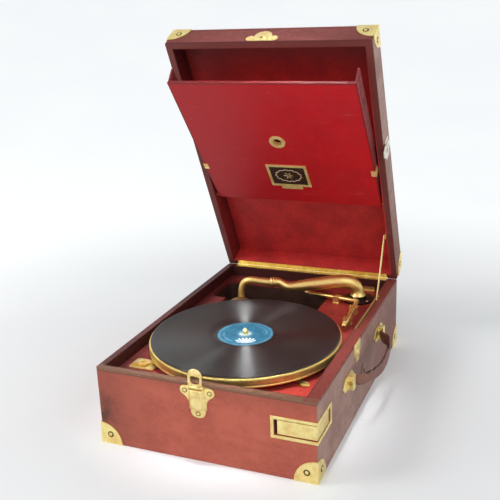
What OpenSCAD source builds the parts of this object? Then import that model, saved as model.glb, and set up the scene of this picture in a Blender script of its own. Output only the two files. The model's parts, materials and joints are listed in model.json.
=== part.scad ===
// Portable wind-up gramophone with its lid open.
// Millimetres, +Z up. The origin is on the underside of the case, at its middle.
// The handle is on the +X side and the lid hinge on the +Y side.
// Everything in the lid is drawn for a shut lid and then turned open by lid_pose().

/* [Case] */
// Width of the case, left to right
case_w = 286; // [280:1:290]
// Depth of the case, latch side to hinge side
case_d = 413; // [408:1:418]
// Height of the case without its lid
case_h = 104.5; // [104:0.5:106]
// Thickness of the case walls
wall_t = 9; // [8:0.5:9]
// Thickness of the base board
base_t = 8; // [6:1:9]

/* [Lid] */
// Height of the lid
lid_h = 35; // [34.5:0.5:38]
// Angle that the lid stands open, from shut
lid_open = 64.5; // [60:0.5:66]
// Angle that the record tray leans out of the lid
tray_lean = 12; // [8:0.5:12]

/* [Turntable] */
// Radius of the turntable
platter_r = 127; // [125:0.5:127.5]
// Radius of the record
record_r = 125; // [120:1:126]
// Radius of the record's label
label_r = 37; // [34:0.5:40]
// Distance from the middle of the case forward to the spindle
spindle_back = 67.1; // [66:0.1:68]

/* [Hidden] */
$fn = 48;
fine = 96;
corner_r = 2.5;

inner_w = case_w - 2 * wall_t;
inner_d = case_d - 2 * wall_t;
board_z = 82;
board_t = 6;
deck_z = board_z + board_t;
ledge_x = 128;
front_y = -case_d / 2;
right_x = case_w / 2;

hinge_y = case_d / 2;
rim_gap = 0.3;
hinge_z = case_h + rim_gap / 2;
lid_z = case_h + rim_gap;
lid_wall = 9.7;
lid_top_t = 5;
lid_in_x = right_x - lid_wall;
lid_ceiling = case_h + lid_h - lid_top_t;

leaf_len = 254;
knuckle_n = 20;
knuckle_len = leaf_len / knuckle_n;
knuckle_r = 1.5;
leaf_t = 1;
pin_r = 0.7;
leaf_w = wall_t;

spindle_y = -spindle_back;
spindle_r = 4;
spindle_tip_r = 3.6;
running = 0.05;
record_top = 109.4;

// the stay: a bar from the lid to a pin that runs along a slot in the right wall
stay_len = 96;
stay_u = 92;
stay_drop = 2.5;
stay_angle = 242.73;
stay_x = 130.7;
stay_t = 1;
slot_y0 = 2;
slot_y1 = 130;
stay_pin = lid_point(stay_u, -stay_drop);

// the record tray's hinge, for a shut lid
tray_w = 261;
tray_len = 239;
tray_t = 4.5;
tray_z = 110.9;
tray_pin_y = 62;
tray_pin_z = tray_z + 2.2;
tray_wall_h = 18;

// the tonearm swings about arm_pivot, and its neck turns about the line from ring
arm_pivot = [96, 147];
ring = [-25, 103.5, 119];
arm_turn = atan2(ring[1] - arm_pivot[1], ring[0] - arm_pivot[0]);
arm_dir = [cos(arm_turn), sin(arm_turn), 0];
side_dir = [-sin(arm_turn), cos(arm_turn), 0];
arm_r = 8.2;
// the arm's bend and its droop: distance from the pivot, height and radius
arm_line = [[0, 100, 8.5], [1.2, 106, 8.9], [6, 112, 9.6], [15, 116.6, 10.2], [28, 117.8, 10.4],
            [48, 116.2, 9.7], [76, 113.4, 8.7], [98, 111.2, 7.2], [108, 111.8, 6.8], [115, 115.6, 6.6],
            [119.5, 118.4, 6.5], [123, 119, 6.5]];
ring_r = 6.2;
tube_wall = 1.2;
spigot_r = ring_r - tube_wall;
box_mid = beyond(49, 28, -38.5);
box_r = 24.5;
box_spigot_r = 4;
needle_dip = 12;
neck_line = [ring, beyond(6, 0, 0), beyond(19, -1.5, 1.4), beyond(33, -4, 2.4), beyond(43, -6, -1.5),
             beyond(48, -6.5, -12),
             beyond(49.5, -5, -24), beyond(49.3, -1, -33), beyond(49.1, 6, -37.8), beyond(49, 14, -38.5)];
neck = [for (i = [0 : 9]) [each neck_line[i], ring_r - 0.155 * i]];

// the winding crank lies in three clips
crank_z = 96;
crank_r = 3.3;
crank_arm_r = 3;
crank_elbow = [102, 120];
crank_tip = [108.5, 22];
crank_end = [17, 134];
grip_end = [14.5, 186];

// gear train under the turntable: teeth, sizes and places
big_m = 1;
barrel_n = 80;
mid_pinion_n = 16;
mid_wheel_n = 60;
spindle_pinion_n = 15;
gov_wheel_n = 60;
gov_pinion_n = 12;
gov_m = 0.8;
spindle = [0, spindle_y];
barrel = [50, -5];
to_mid = (mid_wheel_n + spindle_pinion_n) * big_m / 2;
from_barrel = (barrel_n + mid_pinion_n) * big_m / 2;
mid = meet(spindle, to_mid, barrel, from_barrel);
gov = [-(gov_wheel_n + gov_pinion_n) * gov_m / 2, spindle_y];
frame_z = 26;
frame_t = 3;
bed_z = 78;
bed_t = 4;
arbor_r = 3;
wind_z = 46;

// the needle box swings out of the front right corner
bin_z = 55;
bin_h = 20.5;
bin_x0 = 91;
bin_y1 = -158;
bin_pin = [138, -163.8];
bin_gap = 1.2;
bin_pin_r = 1.5;

// the front latch
latch_x = -3.9;
plate_t = 1.2;
latch_screw = [16.1, 94];
latch_box_w = 24;
latch_face_w = 14;
latch_box_d = 6.5;
ear_x = 8.2;
ear_t = 2.2;
ear_r = 1.9;
hasp_pin = [4.6, 101.2];
hasp_pin_r = 1.2;
hasp_w = 18.6;
hasp_top = 125.3;
hasp_hole_w = 12;
hasp_hole_z = [105.6, 116.8];
keeper_z = 111.2;

// the handle
bracket_y = [-80, 80];
strap_z = 68.5;
strap_x = right_x + 4.7;
strap_pin_r = 3;

// a point so far beyond the ring along the arm, to the front of it, and above it
function beyond(along, front, up) = ring + along * arm_dir + front * side_dir + [0, 0, up];
// the point at distances r and s from two points, on the right of the line between them
function meet(p, r, q, s) =
    let (d = norm(q - p), along = (r * r - s * s + d * d) / (2 * d), u = (q - p) / d)
    p + along * u + sqrt(r * r - along * along) * [u[1], -u[0]];
// a point of the open lid, u from the hinge line and t up from the rim of the shut lid
function lid_point(u, t) = [hinge_y - u * cos(lid_open) + t * sin(lid_open),
                            hinge_z + u * sin(lid_open) + t * cos(lid_open)];
function unit(v) = v / norm(v);
// points of a smooth curve through p, with n steps between neighbours
function spline(p, n) = [for (i = [0 : len(p) - 2], k = [0 : n - 1])
    let (a = p[max(i - 1, 0)], b = p[i], c = p[i + 1], d = p[min(i + 2, len(p) - 1)], t = k / n)
    b + t / 2 * (c - a) + t * t * (a - 2.5 * b + 2 * c - d / 2) + t * t * t / 2 * (3 * b - a - 3 * c + d),
    p[len(p) - 1]];
function heading(p, i) = unit(p[min(i + 1, len(p) - 1)] - p[max(i - 1, 0)]);
// involute gear outline
function inv(a) = tan(a) * 180 / PI - a;
function flank(n, m, r) = let (rb = n * m / 2 * cos(20))
    86 / n + inv(20) - (r > rb ? inv(acos(rb / r)) : 0);
function gear_points(n, m) =
    let (rp = n * m / 2, radii = [rp - 1.2 * m, rp - 0.5 * m, rp, rp + 0.5 * m, rp + 0.95 * m])
    [for (k = [0 : n - 1], side = [-1, 1], j = [0 : 4])
        let (r = radii[side < 0 ? j : 4 - j], a = 360 * k / n + side * flank(n, m, r))
            [r * cos(a), r * sin(a)]];

module rounded(x0, y0, x1, y1, r) {
    translate([x0 + r, y0]) square([x1 - x0 - 2 * r, y1 - y0]);
    translate([x0, y0 + r]) square([x1 - x0, y1 - y0 - 2 * r]);
    for (x = [x0 + r, x1 - r], y = [y0 + r, y1 - r])
        translate([x, y]) circle(r);
}
module slab(x0, y0, z0, x1, y1, z1, r = corner_r) {
    translate([0, 0, z0]) linear_extrude(z1 - z0) rounded(x0, y0, x1, y1, r);
}
module box(a, b) {
    translate(a) cube(b - a);
}
module tube_between(a, b, r1, r2) {
    v = b - a;
    translate(a) rotate([0, acos(v[2] / norm(v)), atan2(v[1], v[0])]) cylinder(h = norm(v), r1 = r1, r2 = r2);
}
// a closed tube along points p, each of which is [x, y, z, radius]
module sweep(p, sides = 16) {
    n = len(p);
    c = [for (q = p) [q[0], q[1], q[2]]];
    rings = [for (i = [0 : n - 1]) let (t = heading(c, i), u = unit(cross(t, [0.3, 1, 0.1])), v = cross(t, u))
             for (k = [0 : sides - 1]) c[i] + p[i][3] * (cos(360 * k / sides) * u + sin(360 * k / sides) * v)];
    faces = [[for (k = [0 : sides - 1]) sides - 1 - k],
             for (i = [0 : n - 2], k = [0 : sides - 1])
                 let (a = i * sides + k, b = i * sides + (k + 1) % sides)
                     each [[a, b, b + sides], [a, b + sides, a + sides]],
             [for (k = [0 : sides - 1]) (n - 1) * sides + k]];
    polyhedron(rings, [for (f = faces) [for (k = [len(f) - 1 : -1 : 0]) f[k]]]);
}
module lid_pose() {
    translate([0, hinge_y, hinge_z]) rotate([-lid_open, 0, 0]) translate([0, -hinge_y, -hinge_z]) children();
}
module tray_pose() {
    lid_pose() translate([0, tray_pin_y, tray_pin_z]) rotate([tray_lean, 0, 0])
        translate([0, -tray_pin_y, -tray_pin_z]) children();
}
// a brass cap over the corner of a box whose corner point is the origin and whose faces run along -X, +Y, +Z
module corner_cap(r = 29, t = 0.9, down = 0) {
    intersection() {
        union() {
            translate([0, 0, 0]) rotate([90, 0, 0]) cylinder(h = t, r = r, $fn = fine);
            rotate([0, 90, 0]) cylinder(h = t, r = r, $fn = fine);
            translate([0, 0, -down]) cylinder(h = t, r = r, $fn = fine);
        }
        box([-r, -t, -down], [t, r, r]);
    }
}

// ---- case ----
// outline of the horn's mouth, g larger all round, whose part beside the turntable starts at x0
module mouth_2d(g = 0, x0 = -102) {
    difference() {
        union() {
            rounded(-127 - g, 96 - g, 50 + g, 174 + g, 12 + g);
            rounded(x0 - g, 10 - g, 50 + g, 130, 6);
        }
        translate(spindle) circle(r = 120 - g, $fn = fine);
    }
}
// the four walls in one, with their cut-outs
module case_shell() {
    difference() {
        slab(-right_x, front_y, base_t, right_x, hinge_y, case_h);
        box([-inner_w / 2, -inner_d / 2, base_t - 1], [inner_w / 2, inner_d / 2, deck_z]);
        box([-inner_w / 2, -inner_d / 2, deck_z - 1], [ledge_x, inner_d / 2, case_h + 1]);
        box([stay_x - 1.2, slot_y0, 94], [stay_x + 3.6, slot_y1, case_h + 1]);
        box([-leaf_len / 2 - 1, hinge_y - leaf_w, case_h - leaf_t], [leaf_len / 2 + 1, hinge_y + 1, case_h + 1]);
        box([-leaf_len / 2 - 1, hinge_y - 2, case_h - 2], [leaf_len / 2 + 1, hinge_y + 1, case_h + 1]);
        box([bin_x0, front_y - 1, bin_z], [right_x + 1, bin_y1, bin_z + bin_h]);
        translate([ledge_x, barrel[1], wind_z]) rotate([0, 90, 0]) cylinder(h = 20, r = 7);
    }
}
module wall(a, b) {
    color("#a8483c") intersection() {
        case_shell();
        box(a, b);
    }
}
module front_wall() {
    wall([-right_x, front_y, 0], [right_x, -inner_d / 2, case_h]);
}
module back_wall() {
    wall([-right_x, inner_d / 2, 0], [right_x, hinge_y, case_h]);
}
module left_wall() {
    wall([-right_x, -inner_d / 2, 0], [-inner_w / 2, inner_d / 2, case_h]);
}
module right_wall() {
    wall([ledge_x, -inner_d / 2, 0], [right_x, inner_d / 2, case_h]);
}
module case_base() {
    color("#7c342c") difference() {
        slab(-right_x, front_y, 0, right_x, hinge_y, base_t);
        for (x = [-1, 1], y = [-1, 1])
            translate([x * right_x, y * hinge_y, -1]) cylinder(h = 1.9, r = 29.2, $fn = fine);
    }
}
module case_corners() {
    color("#d8b76a") for (x = [0, 1], y = [0, 1])
        mirror([x, 0, 0]) mirror([0, y, 0]) difference() {
            translate([right_x, front_y, 0]) corner_cap();
            slab(-right_x, front_y, 0.9, right_x, hinge_y, case_h);
        }
}
module motor_board() {
    color("#9a3029") translate([0, 0, board_z]) linear_extrude(board_t) difference() {
        square([inner_w, inner_d], center = true);
        mouth_2d();
        translate(spindle) circle(8);
        translate(arm_pivot) circle(10);
        translate([94, -134]) circle(2.6);
    }
}
module horn_bowl() {
    color("#1c1110") difference() {
        translate([0, 0, 12]) linear_extrude(board_z - 12) mouth_2d(3, -120);
        translate([0, 0, 15]) linear_extrude(board_z) mouth_2d(0, -120);
        box([40, 133, 24], [60, 163, 58]);
    }
}
module horn_throat() {
    color("#241614") difference() {
        union() {
            box([53, 131, 22], [110, 165, 60]);
            translate([arm_pivot[0], arm_pivot[1], 59]) cylinder(h = board_z - 59, r = 12);
        }
        box([52, 133, 24], [108, 163, 58]);
        translate([arm_pivot[0], arm_pivot[1], 57]) cylinder(h = 30, r = 10);
    }
}
module knuckles(first) {
    for (k = [first : 2 : knuckle_n - 1]) {
        x = -leaf_len / 2 + k * knuckle_len;
        translate([x + 0.15, hinge_y, hinge_z]) rotate([0, 90, 0])
            cylinder(h = knuckle_len - 0.3, r = knuckle_r);
    }
}
// the leaf runs from the rim to the knuckles, with tabs only beside its own knuckles
module leaf(z0, z1, first, bore_r) {
    difference() {
        union() {
            box([-leaf_len / 2, hinge_y - leaf_w, z0], [leaf_len / 2, hinge_y - 2.1, z1]);
            for (k = [first : 2 : knuckle_n - 1])
                box([-leaf_len / 2 + k * knuckle_len + 0.15, hinge_y - 2.2, z0],
                    [-leaf_len / 2 + (k + 1) * knuckle_len - 0.15, hinge_y - 0.2, z1]);
            knuckles(first);
        }
        translate([-leaf_len, hinge_y, hinge_z]) rotate([0, 90, 0]) cylinder(h = 2 * leaf_len, r = bore_r);
    }
}
// the hinge pin is fast in the lower leaf's knuckles
module hinge_leaf_case() {
    color("#c9a352") {
        leaf(case_h - leaf_t, case_h, 0, 0.6);
        translate([-leaf_len / 2, hinge_y, hinge_z]) rotate([0, 90, 0]) cylinder(h = leaf_len, r = pin_r);
    }
}
// a brass channel in the slot of the right wall
module stay_rail() {
    color("#cfae62") difference() {
        box([stay_x - 1.2, slot_y0, 94], [stay_x + 3.6, slot_y1, case_h - 0.2]);
        box([stay_x - 0.6, slot_y0 + 0.6, 94.6], [stay_x + 3, slot_y1 - 0.6, case_h + 1]);
    }
}
module latch_outline() {
    half = [[0, 100.4], [10, 100.5], [16.4, 100.5], [21, 98.6], [22.7, 94], [20.8, 89.8],
            [15.2, 85.6], [11.8, 80], [10.2, 73], [9.4, 66], [6.6, 61.2], [0, 59.4]];
    other = [for (i = [len(half) - 2 : -1 : 0]) [-half[i][0], half[i][1]]];
    polygon(spline(concat(half, other), 4));
}
// a raised box with sloping sides stands on the plate, and two ears on it carry the hasp's pin
module front_latch_plate() {
    box_z0 = 70;
    box_z1 = 98;
    color("#d6b25c") translate([latch_x, front_y, 0]) {
        difference() {
            union() {
                rotate([90, 0, 0]) linear_extrude(plate_t) latch_outline();
                translate([0, 0, box_z0]) linear_extrude(box_z1 - box_z0)
                    polygon([[-latch_box_w / 2, -plate_t + 0.2], [-latch_face_w / 2, -latch_box_d],
                             [latch_face_w / 2, -latch_box_d], [latch_box_w / 2, -plate_t + 0.2]]);
                for (x = [-ear_x - ear_t, ear_x]) {
                    box([x, -hasp_pin[0], 94], [x + ear_t, -plate_t + 0.2, hasp_pin[1] + ear_r]);
                    translate([x, -hasp_pin[0], hasp_pin[1]]) rotate([0, 90, 0]) cylinder(h = ear_t, r = ear_r);
                }
            }
            translate([-20, -hasp_pin[0], hasp_pin[1]]) rotate([0, 90, 0]) cylinder(h = 40, r = hasp_pin_r);
        }
        translate([-ear_x - ear_t, -hasp_pin[0], hasp_pin[1]]) rotate([0, 90, 0])
            cylinder(h = 2 * (ear_x + ear_t), r = hasp_pin_r);
    }
}
module latch_hasp() {
    t = 2.4;
    color("#e0c070") translate([latch_x, front_y - hasp_pin[0], 0]) difference() {
        union() {
            translate([0, t / 2, 0]) rotate([90, 0, 0]) linear_extrude(t) {
                translate([-hasp_w / 2, hasp_pin[1] + 2.4])
                    square([hasp_w, hasp_top - hasp_w / 2 - hasp_pin[1] - 2.4]);
                translate([0, hasp_top - hasp_w / 2]) circle(hasp_w / 2);
            }
            translate([-ear_x + 0.3, 0, hasp_pin[1]]) rotate([0, 90, 0]) cylinder(h = 2 * ear_x - 0.6, r = 2);
            box([-ear_x + 0.3, -t / 2, hasp_pin[1]], [ear_x - 0.3, t / 2, hasp_pin[1] + 3]);
        }
        translate([0, t, 0]) rotate([90, 0, 0]) linear_extrude(2 * t)
            rounded(-hasp_hole_w / 2, hasp_hole_z[0], hasp_hole_w / 2, hasp_hole_z[1], 3.5);
        translate([-20, 0, hasp_pin[1]]) rotate([0, 90, 0]) cylinder(h = 40, r = hasp_pin_r + running);
    }
}
module handle_brackets() {
    color("#d6b25c") for (y = bracket_y)
        translate([0, y, strap_z]) difference() {
            union() {
                translate([right_x, 0, 0]) rotate([90, 0, 90]) linear_extrude(1.5)
                    polygon([[-26, 0], [-15, 9.5], [15, 9.5], [26, 0], [15, -9.5], [-15, -9.5]]);
                box([right_x + 1.4, -5, -9.5], [strap_x + 4.3, 5, 9.5]);
            }
            translate([strap_x, -6, 0]) rotate([-90, 0, 0]) cylinder(h = 12, r = strap_pin_r + running);
        }
}
// the frame has a shelf above and below for the pin that the needle box turns on
module needle_bin_frame() {
    rim = 4;
    lip = 1.2;
    shelf_t = 0.8;
    x0 = bin_x0 - rim;
    y1 = bin_y1 + rim;
    color("#dcbc68") {
        difference() {
            box([x0, front_y - lip, bin_z - rim], [right_x + lip, y1, bin_z + bin_h + rim]);
            box([x0 - 1, front_y, bin_z - rim - 1], [right_x, y1 + 1, bin_z + bin_h + rim + 1]);
            box([bin_x0, front_y - 2, bin_z], [right_x + 2, bin_y1, bin_z + bin_h]);
        }
        for (z = [bin_z, bin_z + bin_h - shelf_t])
            box([bin_pin[0] - 3, bin_pin[1] - 3, z], [right_x + lip, bin_y1, z + shelf_t]);
        translate([bin_pin[0], bin_pin[1], bin_z]) cylinder(h = bin_h, r = bin_pin_r);
    }
}
module tonearm_base() {
    color("#221a16") translate([arm_pivot[0], arm_pivot[1], deck_z]) difference() {
        union() {
            cylinder(h = 2.5, r = 24, $fn = fine);
            cylinder(h = 6, r = 13);
        }
        translate([0, 0, -1]) cylinder(h = 9, r = arm_r + running);
    }
}
// spring clips under the crank, and the brass strip behind the tonearm
module clip(p, turn) {
    translate([p[0], p[1], 0]) rotate(turn) {
        difference() {
            box([-5, -6, deck_z], [5, 6, crank_z + 2.5]);
            box([-6, -crank_r - 0.3, crank_z], [6, crank_r + 0.3, crank_z + 4]);
            translate([-6, 0, crank_z]) rotate([0, 90, 0]) cylinder(h = 12, r = crank_r + 0.3);
            for (s = [-1, 1])
                box([-6, s * 7 - 2.4, deck_z + 1.5], [6, s * 7 + 2.4, crank_z - 3.9]);
        }
    }
}
module deck_clips() {
    shaft = unit(crank_tip - crank_elbow);
    arm = unit(crank_end - crank_elbow);
    color("#cda658") {
        for (s = [27, 70])
            clip(crank_elbow + s * shaft, atan2(shaft[1], shaft[0]));
        clip(crank_elbow + 33 * arm, atan2(arm[1], arm[0]));
        box([92.7, 184, deck_z], [111.8, 188, deck_z + 1.5]);
        box([92.7, 186.5, deck_z + 1.5], [111.8, 188, deck_z + 7]);
    }
}
// the keeper of the side latch, and the bushing of the winding hole
module side_fittings() {
    color("#d2ae58") {
        box([right_x, -51, 88], [right_x + 1.2, -23, case_h]);
        translate([right_x, 0, 0]) rotate([90, 0, 90]) linear_extrude(1.2)
            polygon([[-47, 88.1], [-27, 88.1], [-31, 77], [-43, 77]]);
        box([right_x + 1.2, -42, 86], [right_x + 3, -34, 92.5]);
        difference() {
            union() {
                translate([right_x, barrel[1], wind_z]) rotate([0, 90, 0]) cylinder(h = 1.5, r = 12);
                translate([ledge_x + 6, barrel[1], wind_z]) rotate([0, 90, 0])
                    cylinder(h = right_x - ledge_x - 5, r = 7);
            }
            translate([ledge_x, barrel[1], wind_z]) rotate([0, 90, 0]) cylinder(h = 30, r = 5 + running);
        }
    }
}
module brake_plate() {
    color("#cba55a") {
        difference() {
            slab(-122, -166, deck_z, -86, -140, deck_z + 1.5, 3);
            translate([-106, -154, deck_z - 1]) cylinder(h = 4, r = 2);
        }
        translate([-106, -154, deck_z]) cylinder(h = 7, r = 2);
    }
}
module brake_lever() {
    tip = [-86, -143];
    eye = [-106, -154];
    v = unit(tip - eye);
    color("#dcbc74") translate([0, 0, deck_z + 2]) linear_extrude(2.2) difference() {
        union() {
            translate(eye) circle(7);
            polygon([eye + 3.5 * [v[1], -v[0]], tip + 2 * [v[1], -v[0]], tip + 4 * v, tip - 2 * [v[1], -v[0]],
                     eye - 3.5 * [v[1], -v[0]], eye - 16 * v]);
        }
        translate(eye) circle(2 + running);
    }
}
module speed_lever() {
    root = [94, -134];
    tip = [112.5, -146];
    v = unit(tip - root);
    w = [-v[1], v[0]];
    color("#c79a55") {
        translate([0, 0, deck_z + 1]) linear_extrude(1.6) {
            polygon([root - 2 * w, root + 2 * w, root + 9 * v + 2 * w, root + 9 * v - 2 * w]);
            translate(root) circle(4);
            intersection() {
                translate(root + 15 * v + 4 * w) circle(9.4);
                translate(root + 15 * v - 4 * w) circle(9.4);
            }
        }
        translate([root[0], root[1], bed_z + 1]) cylinder(h = deck_z - bed_z + 1, r = 2.5);
    }
}

// ---- motor ----
module motor_bed() {
    color("#6f6f6c") translate([0, 0, bed_z]) linear_extrude(bed_t) difference() {
        rounded(-62, -132, 96, 32, 8);
        translate(spindle) circle(spindle_r + running);
        translate(barrel) circle(arbor_r + running);
        translate(mid) circle(arbor_r + running);
        translate(gov) circle(1.5 + running);
    }
}
module motor_frame() {
    color("#5c5c5a") {
        translate([0, 0, frame_z]) linear_extrude(frame_t) difference() {
            rounded(-62, -132, 96, 32, 8);
            translate(spindle) circle(spindle_r + running);
            translate(barrel) circle(arbor_r + running);
            translate(mid) circle(arbor_r + running);
            translate(gov) circle(1.5 + running);
        }
        for (x = [-52, 86], y = [-122, 22])
            translate([x, y, frame_z + frame_t]) cylinder(h = bed_z - frame_z - frame_t, r = 4);
    }
}
module gear(n, m, h) {
    linear_extrude(h) polygon(gear_points(n, m));
}
module spring_barrel() {
    color("#8a7a4e") translate([barrel[0], barrel[1], 0]) difference() {
        union() {
            translate([0, 0, 72]) gear(barrel_n, big_m, 4);
            translate([0, 0, 56]) cylinder(h = 16, r = 33, $fn = fine);
        }
        translate([0, 0, 58]) cylinder(h = 14, r = 31.5, $fn = fine);
        translate([0, 0, 50]) cylinder(h = 40, r = 6 + running);
    }
}
module mainspring() {
    turns = 5;
    steps = 120;
    function spiral(r, grow) = [for (i = [0 : steps])
        let (a = 360 * turns * i / steps) (r + grow * i / steps) * [cos(a), sin(a)]];
    outer = spiral(9.2, 20.5);
    inner = spiral(8.4, 20.5);
    color("#4a4f57") translate([barrel[0], barrel[1], 59]) linear_extrude(12)
        polygon([each outer, for (i = [steps : -1 : 0]) inner[i]]);
}
module winding_wheel() {
    color("#77736a") translate([barrel[0], barrel[1], 0]) {
        translate([0, 0, frame_z]) cylinder(h = bed_z + bed_t - frame_z, r = arbor_r);
        translate([0, 0, 58]) cylinder(h = 14, r = 6);
        translate([0, 0, 50.9]) cylinder(h = 3.2, r1 = 9.6, r2 = 16);
    }
}
module winding_shaft() {
    color("#8d8d89") translate([barrel[0], barrel[1], wind_z]) rotate([0, 90, 0]) {
        translate([0, 0, 10.5]) cylinder(h = 6, r1 = 4.4, r2 = 7.2);
        translate([0, 0, 16]) cylinder(h = 67, r = 4);
        translate([0, 0, 82]) difference() {
            cylinder(h = 11, r = 5);
            translate([0, 0, 2]) cylinder(h = 12, r = 3.6);
        }
    }
}
module mid_wheel() {
    color("#b3924d") translate([mid[0], mid[1], 0]) {
        translate([0, 0, 38]) rotate(mesh_turn(mid, spindle, mid_wheel_n)) gear(mid_wheel_n, big_m, 3);
        translate([0, 0, 71]) rotate(mesh_turn_to(mid, barrel, mid_pinion_n, barrel_n))
            gear(mid_pinion_n, big_m, 6);
        translate([0, 0, frame_z]) cylinder(h = bed_z + bed_t - frame_z, r = arbor_r);
    }
}
// turn that points a tooth of a wheel at p towards q
function mesh_turn(p, q, n) = atan2(q[1] - p[1], q[0] - p[0]);
// turn that fits a wheel at p between the teeth of an unturned wheel of m teeth at q
function mesh_turn_to(p, q, n, m) =
    let (back = atan2(p[1] - q[1], p[0] - q[0]), off = back * m / 360 - floor(back * m / 360))
    back + 180 + 180 / n + off * 360 / n;
module spindle_shaft() {
    to_wheel = mesh_turn(spindle, mid, 1);
    color("#a8a59c") translate([spindle[0], spindle[1], 0]) {
        translate([0, 0, frame_z]) cylinder(h = record_top - frame_z, r = spindle_r);
        translate([0, 0, record_top]) cylinder(h = 5, r = spindle_tip_r);
        translate([0, 0, record_top + 5]) cylinder(h = 3.2, r1 = spindle_tip_r, r2 = 0.8);
        translate([0, 0, 47]) gear(gov_wheel_n, gov_m, 3);
        translate([0, 0, 37]) rotate(to_wheel + 180 / spindle_pinion_n) gear(spindle_pinion_n, big_m, 5);
    }
}
module governor_shaft() {
    color("#9b9b97") translate([gov[0], gov[1], 0]) {
        translate([0, 0, frame_z]) cylinder(h = bed_z + bed_t - frame_z, r = 1.5);
        translate([0, 0, 46]) rotate(180 / gov_pinion_n) gear(gov_pinion_n, gov_m, 5);
        translate([0, 0, 52]) cylinder(h = 3, r = 5);
        translate([0, 0, 72]) cylinder(h = 1.6, r = 12);
        translate([0, 0, 69]) cylinder(h = 3, r = 5);
    }
}
module governor_weights() {
    color("#8e6f3a") translate([gov[0], gov[1], 0]) for (a = [0, 120, 240])
        rotate(a + 60) {
            translate([12, 0, 58.5]) cylinder(h = 7, r = 3.8);
            box([5, -1.6, 53], [5.6, 1.6, 71]);
            box([5.6, -1.6, 61.6], [8.4, 1.6, 62.4]);
        }
}

// ---- turntable and record ----
module platter() {
    color("#b98a4a") translate([spindle[0], spindle[1], 0]) rotate_extrude($fn = fine)
        polygon([[spindle_r, 98], [12, 98], [12, 104.4], [platter_r - 3, 104.4],
                 [platter_r - 3, 107], [spindle_r, 107]]);
}
module platter_rim() {
    color("#b98a4a") translate([spindle[0], spindle[1], 0]) rotate_extrude($fn = fine)
        polygon([[platter_r - 3, 104.4], [platter_r - 1.6, 103], [platter_r - 1.6, 95.5], [platter_r - 0.8, 95],
                 [platter_r, 95.5], [platter_r, 105.6], [platter_r - 1.4, 107], [platter_r - 3, 107]]);
}
module platter_felt() {
    color("#4a2c28") translate([spindle[0], spindle[1], 107]) difference() {
        cylinder(h = 0.7, r = platter_r - 2.5, $fn = fine);
        translate([0, 0, -1]) cylinder(h = 3, r = spindle_r);
    }
}
module record() {
    color("#16130f") translate([spindle[0], spindle[1], 0]) rotate_extrude($fn = fine)
        polygon([[spindle_r, 107.7], [record_r - 1, 107.7], [record_r, 108.5], [record_r - 0.9, record_top],
                 [label_r, record_top], [label_r, record_top - 0.4], [spindle_r, record_top - 0.4]]);
}
module record_label() {
    color("#2478a0") translate([spindle[0], spindle[1], record_top - 0.4]) difference() {
        cylinder(h = 0.4, r = label_r, $fn = fine);
        translate([0, 0, -1]) cylinder(h = 3, r = spindle_r);
    }
}

// ---- tonearm ----
// the upright is hollow, and the long part of the arm is drawn solid
module tonearm_tube() {
    base = [arm_pivot[0], arm_pivot[1], 0];
    color("#c9a04c") difference() {
        union() {
            translate(base + [0, 0, board_z + 2]) cylinder(h = 20, r = arm_r);
            translate(base + [0, 0, deck_z + 6.4]) cylinder(h = 9, r1 = 12, r2 = arm_r + 0.4);
            sweep(spline([for (q = arm_line) [each (base + q[0] * arm_dir + [0, 0, q[1]]), q[2]]], 3), 24);
            tube_between(ring - 8 * arm_dir, ring - 0.4 * arm_dir, ring_r + 0.6, ring_r + 0.6);
        }
        translate(base + [0, 0, board_z]) cylinder(h = 20, r = arm_r - tube_wall);
        tube_between(ring - 6 * arm_dir, ring, spigot_r + running, spigot_r + running);
    }
}
// the neck turns in the end of the arm on one spigot, and carries the soundbox on the other
module gooseneck() {
    end = neck_line[len(neck_line) - 1];
    color("#cfa755") {
        sweep(spline(neck, 4));
        tube_between(ring - 5 * arm_dir, ring + arm_dir, spigot_r, spigot_r);
        tube_between(ring + 0.3 * arm_dir, ring + 4 * arm_dir, ring_r + 0.7, ring_r + 0.7);
        tube_between(end - side_dir, end + 7 * side_dir, box_spigot_r, box_spigot_r);
    }
}
// local +Z looks out of the soundbox's face and local +Y is where its needle points
module soundbox_place() {
    translate(box_mid) rotate(arm_turn + 180) rotate([90, 0, 0]) rotate(90 + needle_dip) children();
}
module soundbox() {
    color("#c8a24e") soundbox_place() difference() {
        union() {
            translate([0, 0, -5]) cylinder(h = 12, r = box_r, $fn = fine);
            translate([0, 0, -13.5]) cylinder(h = 9, r = 8);
        }
        translate([0, 0, 2]) cylinder(h = 6, r = box_r - 3.5, $fn = fine);
        translate([0, 0, -14]) cylinder(h = 7.5, r = box_spigot_r + running);
    }
}
module diaphragm() {
    color("#b9b4a6") soundbox_place() translate([0, 0, 3]) cylinder(h = 0.5, r = box_r - 3.6, $fn = fine);
}
module needle() {
    color("#c8c8c4") soundbox_place() {
        box([-2.6, box_r, -1.5], [2.6, box_r + 4, 6.5]);
        translate([0, box_r + 3.8, 4]) rotate([-90, 0, 0]) cylinder(h = 9, r = 2.2);
        translate([0, box_r + 12.7, 4]) rotate([-90, 0, 0]) cylinder(h = 12.2, r1 = 0.8, r2 = 0.2);
        box([-1, 0, 3.7], [1, box_r - 3.6, 4.7]);
    }
}

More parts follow.
